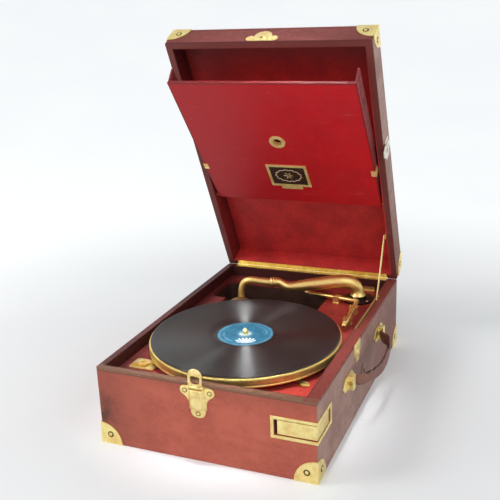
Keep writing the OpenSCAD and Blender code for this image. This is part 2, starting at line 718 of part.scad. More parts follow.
// ---- crank ----
module crank_rod() {
    shaft = unit(crank_tip - crank_elbow);
    e = [crank_elbow[0], crank_elbow[1], crank_z];
    t = [crank_tip[0], crank_tip[1], crank_z];
    a = [crank_end[0], crank_end[1], crank_z];
    g = unit([grip_end[0], grip_end[1], crank_z] - a);
    v = [shaft[0], shaft[1], 0];
    color("#c9a257") {
        tube_between(e, t, crank_r, crank_r);
        tube_between(e, a, crank_arm_r, crank_arm_r);
        translate(e) sphere(crank_r + 0.4);
        translate(a) sphere(crank_arm_r + 0.5);
        tube_between(a, a + 46 * g, 2.6, 2.6);
        tube_between(t - 20 * v, t - 9 * v, 5, 4.4);
    }
}
module crank_grip() {
    a = [crank_end[0], crank_end[1], crank_z];
    g = unit([grip_end[0], grip_end[1], crank_z] - a);
    color("#1d1512") translate(a + 5 * g) rotate([-90, 0, atan2(g[1], g[0]) - 90]) difference() {
        rotate_extrude() polygon([[0, 0], [5, 0], [6.4, 5], [7, 20], [6.6, 38], [4.6, 43], [0, 43]]);
        translate([0, 0, -1]) cylinder(h = 43, r = 2.6 + running);
    }
}

// ---- needle box ----
module needle_bin_cover() {
    t = 1.4;
    color("#e2c878") difference() {
        box([bin_x0 + 4, front_y, bin_z + bin_gap], [right_x, bin_y1 - 5, bin_z + bin_h - bin_gap]);
        box([bin_x0, front_y + t, bin_z], [right_x - t, bin_y1 + 1, bin_z + bin_h]);
    }
}
// a quarter of a round box, with the bore for its pin through a boss at the back
module needle_bin_cup() {
    r = 42.5;
    t = 1.4;
    c = [right_x - t, front_y + t];
    z0 = bin_z + bin_gap;
    tall = bin_h - 2 * bin_gap;
    color("#b8954c") difference() {
        union() {
            difference() {
                intersection() {
                    translate([c[0], c[1], z0]) cylinder(h = tall, r = r, $fn = fine);
                    box([c[0] - r, c[1], z0], [c[0], c[1] + r, z0 + tall]);
                }
                intersection() {
                    translate([c[0], c[1], z0 + t]) cylinder(h = bin_h, r = r - 1.5, $fn = fine);
                    box([c[0] - r, c[1] + 1.5, z0], [c[0] - 1.5, c[1] + r, z0 + bin_h]);
                }
            }
            translate([bin_pin[0], bin_pin[1], z0]) cylinder(h = tall, r = 3);
        }
        translate([bin_pin[0], bin_pin[1], bin_z]) cylinder(h = bin_h, r = bin_pin_r + running);
    }
}

// ---- handle ----
// a band that bows out and hangs a little, with a round end in each bracket
module handle_strap() {
    band = [4, 5, 17];
    bow = [[7, -66, -1.5], [15, -46, -5], [20, -15, -10], [21, 15, -11],
           [18.5, 48, -8], [14.5, 62, -4], [7, 67, -1.5]];
    path = [for (b = bow) [strap_x, 0, strap_z] + b];
    color("#5a3020") {
        for (i = [0 : len(path) - 2])
            hull() for (p = [path[i], path[i + 1]])
                translate(p) cube(band, center = true);
        for (y = bracket_y) {
            inward = -sign(y);
            translate([strap_x, y - 5 - (inward < 0 ? 4 : 0), strap_z]) rotate([-90, 0, 0])
                cylinder(h = 14, r = strap_pin_r);
            hull() {
                translate([strap_x, y + inward * 8, strap_z]) cube([4, 1, 5], center = true);
                translate(path[inward > 0 ? 0 : len(path) - 1]) cube([3, 4, 16], center = true);
            }
        }
    }
}

// ---- lid ----
module lid_walls() {
    color("#8a2f30") lid_pose() difference() {
        slab(-right_x, front_y, lid_z, right_x, hinge_y, lid_ceiling);
        box([-lid_in_x, -hinge_y + lid_wall, lid_z - 1], [lid_in_x, hinge_y - lid_wall, lid_ceiling + 1]);
        box([-leaf_len / 2 - 1, hinge_y - leaf_w, lid_z - 1], [leaf_len / 2 + 1, hinge_y + 1, lid_z + leaf_t]);
        box([-leaf_len / 2 - 1, hinge_y - 2, lid_z - 1], [leaf_len / 2 + 1, hinge_y + 1, lid_z + 2]);
    }
}
module lid_top() {
    color("#9b3f38") lid_pose() slab(-right_x, front_y, lid_ceiling, right_x, hinge_y, lid_ceiling + lid_top_t);
}
module lid_corners() {
    color("#d8b76a") lid_pose() for (x = [0, 1], y = [0, 1])
        mirror([x, 0, 0]) mirror([0, y, 0]) difference() {
            translate([right_x, front_y, lid_ceiling + lid_top_t]) mirror([0, 0, 1]) corner_cap(27, 0.9, 0.9);
            slab(-right_x, front_y, case_h, right_x, hinge_y, lid_ceiling + lid_top_t);
        }
}
module hinge_leaf_lid() {
    color("#c9a352") lid_pose() leaf(lid_z, lid_z + leaf_t, 1, pin_r + running);
}
// the keeper of the front latch, and the bracket and pin of the stay
module lid_fittings() {
    stay_y = hinge_y - stay_u;
    stay_z = hinge_z - stay_drop;
    color("#cfae62") lid_pose() {
        difference() {
            union() {
                translate([0, front_y, 0]) rotate([90, 0, 0]) linear_extrude(1) {
                    translate([latch_x, 0]) {
                        translate([-16, 106]) square([32, 8]);
                        for (x = [-16, 16]) translate([x, 112]) circle(6);
                        translate([0, 118]) circle(12);
                    }
                }
                translate([latch_x, front_y - 0.9, keeper_z]) rotate([90, 0, 0]) cylinder(h = 1.2, r = 5);
            }
            translate([latch_x, front_y + 1, keeper_z]) rotate([90, 0, 0]) cylinder(h = 6, r = 2.6);
        }
        box([stay_x + 1.4, stay_y - 4, stay_z - 3], [lid_in_x, stay_y + 4, case_h + 12]);
        translate([stay_x - 0.5, stay_y, stay_z]) rotate([0, 90, 0]) cylinder(h = 2.2, r = 1.3);
    }
}
module side_latch_plate() {
    color("#c9c0b0") lid_pose() {
        box([right_x, -48, 112], [right_x + 1, -18, 130]);
        translate([right_x + 0.9, -38, 121]) rotate([0, 90, 0]) cylinder(h = 3.2, r = 2);
    }
}
module side_latch_lever() {
    color("#d6cdbd") lid_pose() translate([right_x + 1.3, -38, 121]) rotate([90, 0, 90])
    linear_extrude(1.6) difference() {
        union() {
            circle(7);
            polygon([[-6, 0], [6, 0], [9, -18], [4, -26], [-4, -26], [-9, -18]]);
        }
        circle(2 + running);
    }
}
module stay_bar() {
    color("#d9bd7c") translate([stay_x - 0.1, stay_pin[0], stay_pin[1]]) rotate([stay_angle, 0, 0])
    difference() {
        union() {
            box([0, 0, -2.8], [stay_t, stay_len, 2.8]);
            for (y = [0, stay_len])
                translate([0, y, 0]) rotate([0, 90, 0]) cylinder(h = stay_t, r = 2.8);
            translate([0, stay_len, 0]) rotate([0, 90, 0]) cylinder(h = 3, r = 1.6);
        }
        translate([-1, 0, 0]) rotate([0, 90, 0]) cylinder(h = 4, r = 1.3 + running);
    }
}
module tray_guides() {
    color("#b08d45") lid_pose() for (x = [-1, 1]) {
        translate([x > 0 ? tray_w / 2 - 2.6 : -lid_in_x, tray_pin_y, tray_pin_z]) rotate([0, 90, 0])
            cylinder(h = lid_in_x - tray_w / 2 + 2.6, r = 2);
    }
}

// ---- record tray in the lid ----
module tray_panel() {
    y0 = tray_pin_y - tray_len;
    color("#a5242b") tray_pose() difference() {
        box([-tray_w / 2, y0, tray_z], [tray_w / 2, tray_pin_y + 3, tray_z + tray_t]);
        translate([0, spindle_y, tray_z - 1]) cylinder(h = tray_t + 2, r = 10);
        for (x = [-1, 1])
            translate([x * (tray_w / 2 + 1), tray_pin_y, tray_pin_z]) rotate([0, 90, 0])
                cylinder(h = 8, r = 2 + running, center = true);
    }
}
module tray_pocket() {
    y0 = tray_pin_y - tray_len;
    z0 = tray_z + tray_t;
    color("#7c1d22") tray_pose() {
        for (x = [-1, 1])
            translate([x > 0 ? tray_w / 2 - 3 : -tray_w / 2, 0, 0]) rotate([90, 0, 90]) linear_extrude(3)
                polygon([[y0, z0], [tray_pin_y - 8, z0], [tray_pin_y - 8, z0 + 8],
                         [tray_pin_y - 40, z0 + tray_wall_h],
                         [y0 - 5, z0 + tray_wall_h]]);
        box([-tray_w / 2 + 3, tray_pin_y - 11, z0], [tray_w / 2 - 3, tray_pin_y - 8, z0 + 8]);
    }
}
module tray_fittings() {
    clip_y = tray_pin_y - 70;
    color("#e0c274") tray_pose() {
        translate([0, spindle_y, tray_z]) difference() {
            union() {
                translate([0, 0, -1]) cylinder(h = 1, r = 11.6);
                cylinder(h = tray_t, r = 10);
            }
            translate([0, 0, -2]) cylinder(h = tray_t + 4, r = 6.4);
        }
        for (x = [0, 1])
            mirror([x, 0, 0]) {
                box([tray_w / 2 - 6, clip_y - 5, tray_z - 1], [tray_w / 2 + 1, clip_y + 5, tray_z]);
                box([tray_w / 2, clip_y - 5, tray_z - 0.1], [tray_w / 2 + 1, clip_y + 5, tray_z + 12]);
            }
    }
}
plate_s = [34, 80];
plate_x = 30.7;
module picture_frame() {
    color("#c89b4e") tray_pose() difference() {
        union() {
            box([-plate_x, tray_pin_y - plate_s[1], tray_z - 1.1], [plate_x, tray_pin_y - plate_s[0], tray_z]);
            box([-16, tray_pin_y - plate_s[0] - 0.1, tray_z - 1.1], [16, tray_pin_y - plate_s[0] + 6, tray_z]);
        }
        box([-plate_x + 4, tray_pin_y - plate_s[1] + 4, tray_z - 2],
            [plate_x - 4, tray_pin_y - plate_s[0] - 4, tray_z + 1]);
    }
}
module picture_plate() {
    color("#20130f") tray_pose()
        box([-plate_x + 4, tray_pin_y - plate_s[1] + 4, tray_z - 0.6],
            [plate_x - 4, tray_pin_y - plate_s[0] - 4, tray_z]);
}
front_wall();
back_wall();
left_wall();
right_wall();
case_base();
case_corners();
motor_board();
horn_bowl();
horn_throat();
hinge_leaf_case();
stay_rail();
front_latch_plate();
latch_hasp();
handle_brackets();
needle_bin_frame();
tonearm_base();
deck_clips();
side_fittings();
brake_plate();
brake_lever();
speed_lever();
motor_bed();
motor_frame();
spring_barrel();
mainspring();
winding_wheel();
winding_shaft();
mid_wheel();
spindle_shaft();
governor_shaft();
governor_weights();
platter();
platter_rim();
platter_felt();
record();
record_label();
tonearm_tube();
gooseneck();
soundbox();
diaphragm();
needle();
crank_rod();
crank_grip();
needle_bin_cover();
needle_bin_cup();
handle_strap();
lid_walls();
lid_top();
lid_corners();
hinge_leaf_lid();
side_latch_plate();
side_latch_lever();
lid_fittings();
stay_bar();
tray_guides();
tray_panel();
tray_pocket();
tray_fittings();
picture_frame();
picture_plate();
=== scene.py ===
"""Looks of a portable wind-up gramophone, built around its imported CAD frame.

Lengths in this script are millimetres unless a name says otherwise, and MM turns them into metres.
Pieces of the lid are drawn as if it were shut, and pieces of the record tray as if it also lay flat.
"""

import json
import math
import random

import bmesh
import bpy
from mathutils import Matrix, Vector, noise


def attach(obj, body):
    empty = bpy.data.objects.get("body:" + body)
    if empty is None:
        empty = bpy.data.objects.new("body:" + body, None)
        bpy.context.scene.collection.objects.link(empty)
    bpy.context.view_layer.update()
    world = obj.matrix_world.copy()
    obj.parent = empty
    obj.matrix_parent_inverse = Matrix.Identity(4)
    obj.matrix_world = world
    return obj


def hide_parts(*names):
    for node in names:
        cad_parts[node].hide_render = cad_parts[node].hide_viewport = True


MM = 0.001
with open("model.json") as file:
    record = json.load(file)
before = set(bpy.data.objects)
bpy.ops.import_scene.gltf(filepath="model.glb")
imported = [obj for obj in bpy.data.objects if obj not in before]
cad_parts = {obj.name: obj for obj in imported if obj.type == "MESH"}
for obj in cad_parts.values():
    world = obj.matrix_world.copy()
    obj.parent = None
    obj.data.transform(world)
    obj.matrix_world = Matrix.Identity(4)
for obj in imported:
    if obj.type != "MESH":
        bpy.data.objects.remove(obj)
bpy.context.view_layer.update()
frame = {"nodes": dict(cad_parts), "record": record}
nodes = frame["nodes"]
body_of = {n: b for b, ns in frame["record"]["behaviour"]["bodies"].items() for n in ns}

# ---- places ----
HALF_W, HALF_D, CASE_H = 143.0, 206.5, 104.5
HINGE = Vector((0, 206.5, 104.65))
TRAY_PIN = Vector((0, 62, 113.1))
SPINDLE = Vector((0, -67.1, 0))
DECK = 88.0
LID_TOP = CASE_H + 35
TRAY_EDGE = 62 - 239
LATCH_X = -3.9
CORNER_SCREW = 13
RIM_STRIP = 3.6


def about(point, degrees, axis="X"):
    return Matrix.Translation(point) @ Matrix.Rotation(math.radians(degrees), 4, axis) @ Matrix.Translation(-point)


HERE = Matrix()
LID = about(HINGE, -64.5)
TRAY = LID @ about(TRAY_PIN, 12)
SPACES = {"case": (HERE, 0.0), "lid": (LID, 64.5), "tray": (TRAY, 52.5)}


# ---- camera ----
def add_camera():
    azimuth, elevation, roll = (math.radians(a) for a in (22.92, 17.77, -2.25))
    level = math.cos(elevation)
    back = Vector((math.sin(azimuth) * level, -math.cos(azimuth) * level, math.sin(elevation)))
    right = (-back).cross(Vector((0, 0, 1))).normalized()
    up = right.cross(-back)
    r = math.cos(roll) * right + math.sin(roll) * up
    u = -math.sin(roll) * right + math.cos(roll) * up
    data = bpy.data.cameras.new("camera")
    data.lens, data.sensor_width, data.clip_start = 56.43, 36, 0.05
    camera = bpy.data.objects.new("camera", data)
    bpy.context.scene.collection.objects.link(camera)
    turn = Matrix((r, u, back)).transposed().to_4x4()
    camera.matrix_world = Matrix.Translation((0.3806, -0.9406, 0.5303)) @ turn
    bpy.context.scene.camera = camera


add_camera()


def srgb(r, g, b):
    linear = [c / 12.92 if c <= 0.04045 else ((c + 0.055) / 1.055) ** 2.4 for c in (r / 255, g / 255, b / 255)]
    return (*linear, 1.0)


# ---- materials ----
class Graph:
    """A node material whose coordinates are metres in the shared frame, or in the shut lid or the flat tray."""

    def __init__(self, name, space="case"):
        self.material = bpy.data.materials.new(name)
        self.material.use_nodes = True
        self.tree = self.material.node_tree
        self.tree.nodes.clear()
        out = self.tree.nodes.new("ShaderNodeOutputMaterial")
        self.bsdf = self.tree.nodes.new("ShaderNodeBsdfPrincipled")
        self.tree.links.new(self.bsdf.outputs[0], out.inputs[0])
        self.at = self.tree.nodes.new("ShaderNodeTexCoord").outputs["Object"]
        matrix, turn = SPACES[space]
        if turn:
            mapping = self.node("ShaderNodeMapping", {"Vector": self.at})
            mapping.inputs["Rotation"].default_value = (math.radians(turn), 0, 0)
            mapping.inputs["Location"].default_value = matrix.inverted().translation * MM
            self.at = mapping.outputs[0]
        split = self.node("ShaderNodeSeparateXYZ", {"Vector": self.at})
        self.x, self.y, self.z = split.outputs

    def feed(self, socket, value):
        if isinstance(value, bpy.types.NodeSocket):
            self.tree.links.new(value, socket)
        else:
            socket.default_value = value

    def node(self, kind, inputs=None, **settings):
        made = self.tree.nodes.new(kind)
        for key, value in settings.items():
            setattr(made, key, value)
        for key, value in (inputs or {}).items():
            self.feed(made.inputs[key], value)
        return made

    def noise(self, size, detail=4, rough=0.55, at=None, stretch=None):
        """Noise from about 0.25 to 0.75 whose largest features are about size millimetres."""
        place = self.at if at is None else at
        if stretch:
            place = self.node("ShaderNodeMapping", {"Vector": place, "Scale": stretch}).outputs[0]
        values = {"Vector": place, "Scale": 1 / (size * MM), "Detail": detail, "Roughness": rough}
        return self.node("ShaderNodeTexNoise", values).outputs[0]

    def cells(self, size, feature="F1"):
        values = {"Vector": self.at, "Scale": 1 / (size * MM)}
        return self.node("ShaderNodeTexVoronoi", values, feature=feature).outputs[0]

    def math(self, op, a, b=0.0):
        return self.node("ShaderNodeMath", {0: a, 1: b}, operation=op).outputs[0]

    def plus(self, a, b):
        return self.math("ADD", a, b)

    def times(self, a, b):
        return self.math("MULTIPLY", a, b)

    def ease(self, value, low, high, to_low=0.0, to_high=1.0):
        """value eased from low..high to to_low..to_high, and held outside."""
        values = {"Value": value, "From Min": low, "From Max": high, "To Min": to_low, "To Max": to_high}
        return self.node("ShaderNodeMapRange", values, interpolation_type="SMOOTHSTEP").outputs[0]

    def over(self, value, at_mm, soft_mm=0.5):
        return self.ease(value, (at_mm - soft_mm) * MM, (at_mm + soft_mm) * MM)

    def under(self, value, at_mm, soft_mm=0.5):
        return self.ease(value, (at_mm - soft_mm) * MM, (at_mm + soft_mm) * MM, 1, 0)

    def band(self, value, low_mm, high_mm, soft_mm=0.5):
        return self.all(self.over(value, low_mm, soft_mm), self.under(value, high_mm, soft_mm))

    def all(self, *masks):
        total = masks[0]
        for m in masks[1:]:
            total = self.times(total, m)
        return total

    def any(self, *masks):
        total = masks[0]
        for m in masks[1:]:
            total = self.math("MAXIMUM", total, m)
        return total

    def mix(self, amount, a, b):
        return self.node("ShaderNodeMix", {0: amount, 6: a, 7: b}, data_type="RGBA").outputs[2]

    def fade(self, value, low, high, a, b):
        """Colour a where the value is low, and b where it is high."""
        return self.mix(self.ease(value, low, high), a, b)

    def tint(self, color, mask, share, other):
        """color with that share of the other where the mask is 1."""
        return self.mix(self.times(mask, share), color, other)

    def away(self, value):
        return self.math("ABSOLUTE", value)

    def radius(self, centre):
        dx = self.math("SUBTRACT", self.x, centre[0] * MM)
        dy = self.math("SUBTRACT", self.y, centre[1] * MM)
        return self.math("SQRT", self.plus(self.times(dx, dx), self.times(dy, dy)))

    def bump(self, height, depth_mm, strength):
        values = {"Height": height, "Distance": depth_mm * MM, "Strength": strength}
        return self.node("ShaderNodeBump", values).outputs[0]

    def done(self, color, roughness, normal, **others):
        """Sets the shader's sockets; their names are given with _ for spaces."""
        for key, value in {"Base Color": color, "Roughness": roughness, "Normal": normal, **others}.items():
            self.feed(self.bsdf.inputs[key.replace("_", " ")], value)
        return self.material


def metal(name, bright, dark, space="case", rough=(0.22, 0.42), pits=0.5, pit_color=srgb(84, 58, 30),
          grain=1.0, metallic=0.96):
    """Worn plated metal: tarnish clouds, small dark pits, fine scratches."""
    g = Graph(name, space)
    cloud = g.noise(13 * grain, 5, 0.62)
    fine = g.noise(2.4 * grain, 4, 0.6)
    scratch = g.noise(1.1 * grain, 3, 0.7, stretch=(1, 0.12, 0.4))
    color = g.fade(cloud, 0.36, 0.72, bright, dark)
    spots = g.all(g.ease(g.noise(1.7 * grain, 3, 0.75), 0.63 - 0.06 * pits, 0.72), g.ease(cloud, 0.35, 0.6, 0.25, 1))
    spots = g.times(spots, pits)
    color = g.mix(spots, color, pit_color)
    color = g.mix(g.ease(scratch, 0.6, 0.72, 0, 0.25), color, bright)
    roughness = g.plus(g.ease(fine, 0.35, 0.65, *rough), g.times(spots, 0.25))
    height = g.math("SUBTRACT", g.times(fine, 0.6), spots)
    return g.done(color, roughness, g.bump(height, 0.12, 0.5), Metallic=metallic)


def metals(name, bright, dark, **settings):
    """The same metal for the case and for the lid."""
    return metal(name, bright, dark, **settings), metal(name + "_lid", bright, dark, "lid", **settings)


def cloth_grain(g, size=0.9):
    """The pebbled grain of leathercloth, as a height."""
    pebble = g.cells(size, "SMOOTH_F1")
    return g.plus(g.times(pebble, 0.7), g.times(g.noise(size * 0.8, 3, 0.6), 0.6))


def leathercloth(name, space, top, for_case):
    """Red leathercloth, brown along its edges, with a painted pale reflection on the right side that darkens towards
    the back, painted shade on the lid's front wall, and the inside in its own colours.
    """
    g = Graph(name, space)
    mottle = g.noise(32, 6, 0.6)
    small = g.noise(5, 5, 0.65)
    streak = g.noise(16, 5, 0.65, stretch=(0.35, 0.35, 2.2))
    color = g.fade(mottle, 0.34, 0.66, srgb(186, 92, 72), srgb(168, 78, 60))
    color = g.mix(g.ease(small, 0.42, 0.68, 0, 0.4), color, srgb(192, 104, 84))
    color = g.mix(g.ease(streak, 0.52, 0.7, 0, 0.4), color, srgb(146, 66, 52))
    # painted reflection: the right side is pale grey at the front and darkens to red-brown towards the back
    aside = g.over(g.x, 142.4, 0.3)
    side_reflection = g.fade(mottle, 0.3, 0.7, srgb(164, 136, 122), srgb(134, 104, 94))
    side_reflection = g.mix(g.ease(g.y, -60 * MM, 150 * MM, 0, 0.75), side_reflection, srgb(104, 60, 46))
    color = g.tint(color, aside, 0.9, side_reflection)
    end_x = g.ease(g.away(g.x), (HALF_W - 7) * MM, HALF_W * MM)
    end_y = g.ease(g.away(g.y), (HALF_D - 6) * MM, HALF_D * MM)
    end_z = g.any(g.ease(g.z, (top - 5) * MM, top * MM), g.ease(g.z, 5 * MM, 0))
    outer_edge = g.any(g.all(end_x, end_y), g.all(end_x, end_z), g.all(end_y, end_z))
    if for_case:
        front = g.under(g.y, -HALF_D + 1, 0.8)
        dull = g.any(g.ease(g.x, -40 * MM, -135 * MM, 0, 0.55), g.ease(g.z, 80 * MM, 101 * MM, 0, 0.4))
        color = g.mix(g.all(front, dull), color, srgb(134, 68, 52))
        left = g.ease(g.x, -96 * MM, -139 * MM)
        blot = g.ease(g.noise(24, 6, 0.7), 0.36, 0.62)
        stain = g.all(front, left, g.ease(g.z, 4 * MM, 34 * MM), g.ease(g.z, 92 * MM, 50 * MM), blot)
        color = g.tint(color, stain, 0.85, srgb(74, 40, 30))
        foot = g.all(g.ease(g.z, 13 * MM, 1 * MM), g.ease(small, 0.35, 0.6, 0.3, 1))
        color = g.tint(color, foot, 0.15, srgb(128, 62, 50))
        rim = g.over(g.z, top - RIM_STRIP, 0.35)
        sides = g.mix(g.over(g.x, 0, 1), srgb(84, 38, 36), g.mix(small, srgb(134, 54, 46), srgb(112, 42, 38)))
        fore = g.under(g.y, -HALF_D + 10, 1)
        color = g.mix(rim, color, g.mix(fore, sides, g.mix(small, srgb(138, 98, 72), srgb(112, 76, 58))))
        seam = g.band(g.z, top - RIM_STRIP - 0.6, top - RIM_STRIP + 0.2, 0.2)
        color = g.tint(color, seam, 0.75, srgb(58, 30, 26))
        inside = g.all(
            g.under(g.away(g.y), HALF_D - 8, 0.6),
            g.under(g.x, 130, 0.6), g.over(g.x, -HALF_W + 8, 0.6), g.over(g.z, DECK - 3, 0.5),
        )
        color = g.mix(inside, color, g.mix(small, srgb(76, 22, 18), srgb(50, 16, 14)))
        sill = g.all(g.over(g.x, 126, 1), g.over(g.z, top - 1.2, 0.3))
        color = g.tint(color, sill, 0.5, srgb(126, 58, 48))
    else:
        color = g.tint(color, outer_edge, 0.45, srgb(118, 62, 54))
        inner = g.all(
            g.under(g.away(g.y), HALF_D - 8.6, 0.4), g.under(g.away(g.x), HALF_W - 8.6, 0.4),
            g.under(g.z, top - 4.6, 0.4),
        )
        lining = g.fade(mottle, 0.3, 0.7, srgb(204, 50, 46), srgb(172, 38, 38))
        lining = g.mix(g.ease(small, 0.45, 0.7, 0, 0.22), lining, srgb(112, 26, 30))
        lining = g.mix(g.ease(g.y, -110 * MM, -190 * MM, 0, 0.9), lining, srgb(84, 16, 18))
        lining = g.tint(lining, g.under(g.x, -HALF_W + 11.5, 1.2), 0.7, srgb(58, 14, 14))
        # painted shade: the lid's front wall, which faces up when the lid is open, is darkened
        front_wall_shade = g.under(g.y, -HALF_D + 1.5, 1)
        color = g.tint(color, front_wall_shade, 0.85, g.mix(mottle, srgb(116, 38, 32), srgb(84, 28, 26)))
        color = g.mix(inner, color, lining)
        lip = g.all(g.under(g.z, 106.4, 0.4), g.math("SUBTRACT", 1.0, inner))
        color = g.tint(color, lip, 0.85, srgb(88, 30, 30))
    scuff = g.all(g.ease(g.noise(2.6, 4, 0.75), 0.58, 0.68), outer_edge)
    color = g.tint(color, scuff, 0.5, srgb(196, 146, 122))
    speck = g.ease(g.noise(1.5, 3, 0.7), 0.68, 0.76)
    color = g.tint(color, speck, 0.3, srgb(70, 34, 30))
    roughness = g.ease(small, 0.3, 0.7, 0.46, 0.68)
    height = g.plus(cloth_grain(g), g.times(mottle, 0.8))
    return g.done(color, roughness, g.bump(height, 0.22, 0.55), Specular_IOR_Level=0.42)


def crimson_panel():
    """Crimson lacquered board of the record tray, darker to the left and along its edges."""
    g = Graph("crimson_lacquer", "tray")
    cloud = g.noise(46, 6, 0.6)
    small = g.noise(6, 5, 0.65)
    across = g.ease(g.x, -120 * MM, 110 * MM)
    color = g.mix(across, srgb(170, 22, 30), srgb(194, 22, 30))
    color = g.mix(g.ease(cloud, 0.36, 0.66, 0, 0.5), color, srgb(170, 24, 32))
    color = g.mix(g.ease(small, 0.5, 0.72, 0, 0.35), color, srgb(188, 56, 56))
    edge = g.any(g.under(g.y, TRAY_EDGE + 2.4, 1.2), g.over(g.away(g.x), 128.6, 0.8))
    color = g.tint(color, edge, 0.8, srgb(104, 26, 25))
    scratch = g.ease(g.noise(7, 3, 0.7, stretch=(0.15, 1.4, 1)), 0.64, 0.70)
    color = g.tint(color, scratch, 0.3, srgb(206, 104, 92))
    spot = g.ease(g.noise(1.9, 3, 0.7), 0.67, 0.74)
    color = g.tint(color, spot, 0.6, srgb(78, 18, 20))
    roughness = g.ease(small, 0.35, 0.7, 0.34, 0.5)
    height = g.plus(g.times(small, 0.5), g.noise(1.2, 3, 0.6))
    return g.done(color, roughness, g.bump(height, 0.1, 0.35), Specular_IOR_Level=0.3)


def lining_cloth():
    g = Graph("tray_lining", "tray")
    small = g.noise(7, 5, 0.65)
    color = g.fade(small, 0.35, 0.68, srgb(134, 44, 42), srgb(98, 28, 30))
    upper = g.over(g.z, 131.5, 1.2)
    color = g.tint(color, upper, 0.5, srgb(160, 66, 60))
    height = cloth_grain(g, 0.7)
    return g.done(color, g.ease(small, 0.3, 0.7, 0.6, 0.8), g.bump(height, 0.2, 0.5))


def deck_board():
    """Red covered board around the turntable, with fine dust, painted shade towards the walls and on the left, and
    painted light at the front right.
    """
    g = Graph("deck_board")
    cloud = g.noise(36, 6, 0.62)
    small = g.noise(4.5, 5, 0.68)
    color = g.fade(cloud, 0.34, 0.66, srgb(176, 54, 46), srgb(152, 40, 38))
    # painted light: the front right of the board is brighter
    bright = g.all(g.ease(g.x, -20 * MM, 110 * MM), g.ease(g.y, -60 * MM, -170 * MM))
    color = g.tint(color, bright, 0.9, srgb(200, 58, 46))
    color = g.mix(g.ease(small, 0.5, 0.72, 0, 0.5), color, srgb(110, 40, 36))
    # painted shade: the board darkens towards the walls round it
    wall = g.any(g.ease(g.away(g.x), 112 * MM, 134 * MM), g.ease(g.away(g.y), 184 * MM, 198 * MM))
    color = g.tint(color, wall, 0.55, srgb(84, 32, 30))
    # painted shade: the board darkens towards the left
    color = g.mix(g.ease(g.x, -60 * MM, -128 * MM, 0, 0.55), color, srgb(62, 22, 20))
    dust = g.ease(g.noise(1.6, 3, 0.75), 0.62, 0.72)
    color = g.tint(color, dust, 0.35, srgb(190, 130, 112))
    height = g.plus(g.noise(0.8, 3, 0.6), g.times(cloud, 0.6))
    return g.done(color, g.ease(small, 0.3, 0.7, 0.5, 0.74), g.bump(height, 0.2, 0.45))


def shellac():
    """Black record with groove bands, a run-out ring and a dusty, scuffed surface."""
    g = Graph("shellac")
    r = g.radius(SPINDLE)
    track = g.node("ShaderNodeCombineXYZ", {"X": r}).outputs[0]
    bands = g.noise(3.2, 4, 0.7, at=track)
    dust = g.noise(34, 4, 0.5)
    fine = g.noise(1.4, 4, 0.7)
    color = g.fade(bands, 0.36, 0.66, srgb(20, 17, 16), srgb(33, 28, 25))
    color = g.mix(g.ease(dust, 0.42, 0.68, 0, 0.4), color, srgb(44, 36, 32))
    color = g.tint(color, g.ease(fine, 0.64, 0.74), 0.35, srgb(96, 82, 72))
    dead = g.any(g.band(r, 37, 43.5, 0.4), g.over(r, 122.6, 0.4))
    color = g.tint(color, dead, 0.7, srgb(26, 22, 21))
    groove = g.math("SINE", g.times(r, 2 * math.pi / (0.62 * MM)))
    groove = g.times(groove, g.math("SUBTRACT", 1.0, dead))
    rough = g.plus(g.ease(bands, 0.35, 0.65, 0.37, 0.43), g.times(g.ease(dust, 0.4, 0.7), 0.03))
    rough = g.math("SUBTRACT", rough, g.times(dead, 0.06))
    height = g.plus(g.times(groove, 0.14), g.times(bands, 0.35))
    along_groove = g.node("ShaderNodeTangent", direction_type="RADIAL", axis="Z").outputs[0]
    return g.done(color, rough, g.bump(height, 0.12, 0.45), Tangent=along_groove, Anisotropic=1.0,
                  Anisotropic_Rotation=0.25, Specular_IOR_Level=0.62, Coat_Weight=0.12, Coat_Roughness=0.08)


def label_paper():
    """Blue paper with pale rings and arcs, and a plain fan of petals."""
    g = Graph("label_paper")
    r = g.radius(SPINDLE)
    worn = g.noise(9, 5, 0.65)
    fine = g.noise(1.3, 3, 0.7)
    color = g.fade(worn, 0.36, 0.66, srgb(10, 82, 106), srgb(6, 70, 94))
    angle = g.math("ARCTAN2", g.math("SUBTRACT", g.y, SPINDLE[1] * MM), g.math("SUBTRACT", g.x, SPINDLE[0] * MM))
    wave = g.times(g.math("SINE", g.times(angle, 2)), 0.01)
    arcs = g.all(g.band(r, 27.2, 29.4, 0.3), g.over(wave, 4.5, 0.6), g.ease(g.noise(1.6, 3, 0.7), 0.42, 0.55))
    rings = g.any(g.band(r, 34.2, 34.8, 0.2), g.band(r, 10.6, 11.1, 0.2))
    color = g.tint(color, g.any(rings, arcs), 0.4, srgb(150, 196, 204))
    shift = g.node("ShaderNodeMapping", {"Vector": g.at, "Location": (-8.6 * MM, (67.1 + 20.2) * MM, 0)}).outputs[0]
    turned = g.node("ShaderNodeMapping", {"Vector": shift, "Rotation": (0, 0, math.radians(-22.9))}).outputs[0]
    u, v, _ = g.node("ShaderNodeSeparateXYZ", {"Vector": turned}).outputs
    oval = g.math("SQRT", g.plus(g.math("POWER", u, 2.0), g.math("POWER", g.times(v, 1.7), 2.0)))
    fan = g.math("SINE", g.times(g.math("ARCTAN2", g.plus(v, 7 * MM), u), 18))
    petals = g.any(g.over(g.times(fan, 0.004), 0.2, 0.8), g.under(oval, 5, 0.5))
    leaves = g.all(g.under(oval, 13.5, 0.4), petals)
    color = g.tint(color, leaves, 0.8, srgb(214, 226, 220))
    color = g.tint(color, g.over(r, 35.9, 0.3), 0.6, srgb(70, 130, 156))
    rub = g.all(g.under(r, 8.5, 1.6), g.ease(worn, 0.3, 0.6, 0.4, 1))
    color = g.tint(color, rub, 0.7, srgb(176, 190, 184))
    color = g.mix(g.ease(fine, 0.62, 0.74, 0, 0.3), color, srgb(80, 138, 160))
    return g.done(color, g.ease(worn, 0.3, 0.7, 0.42, 0.6), g.bump(fine, 0.05, 0.4))


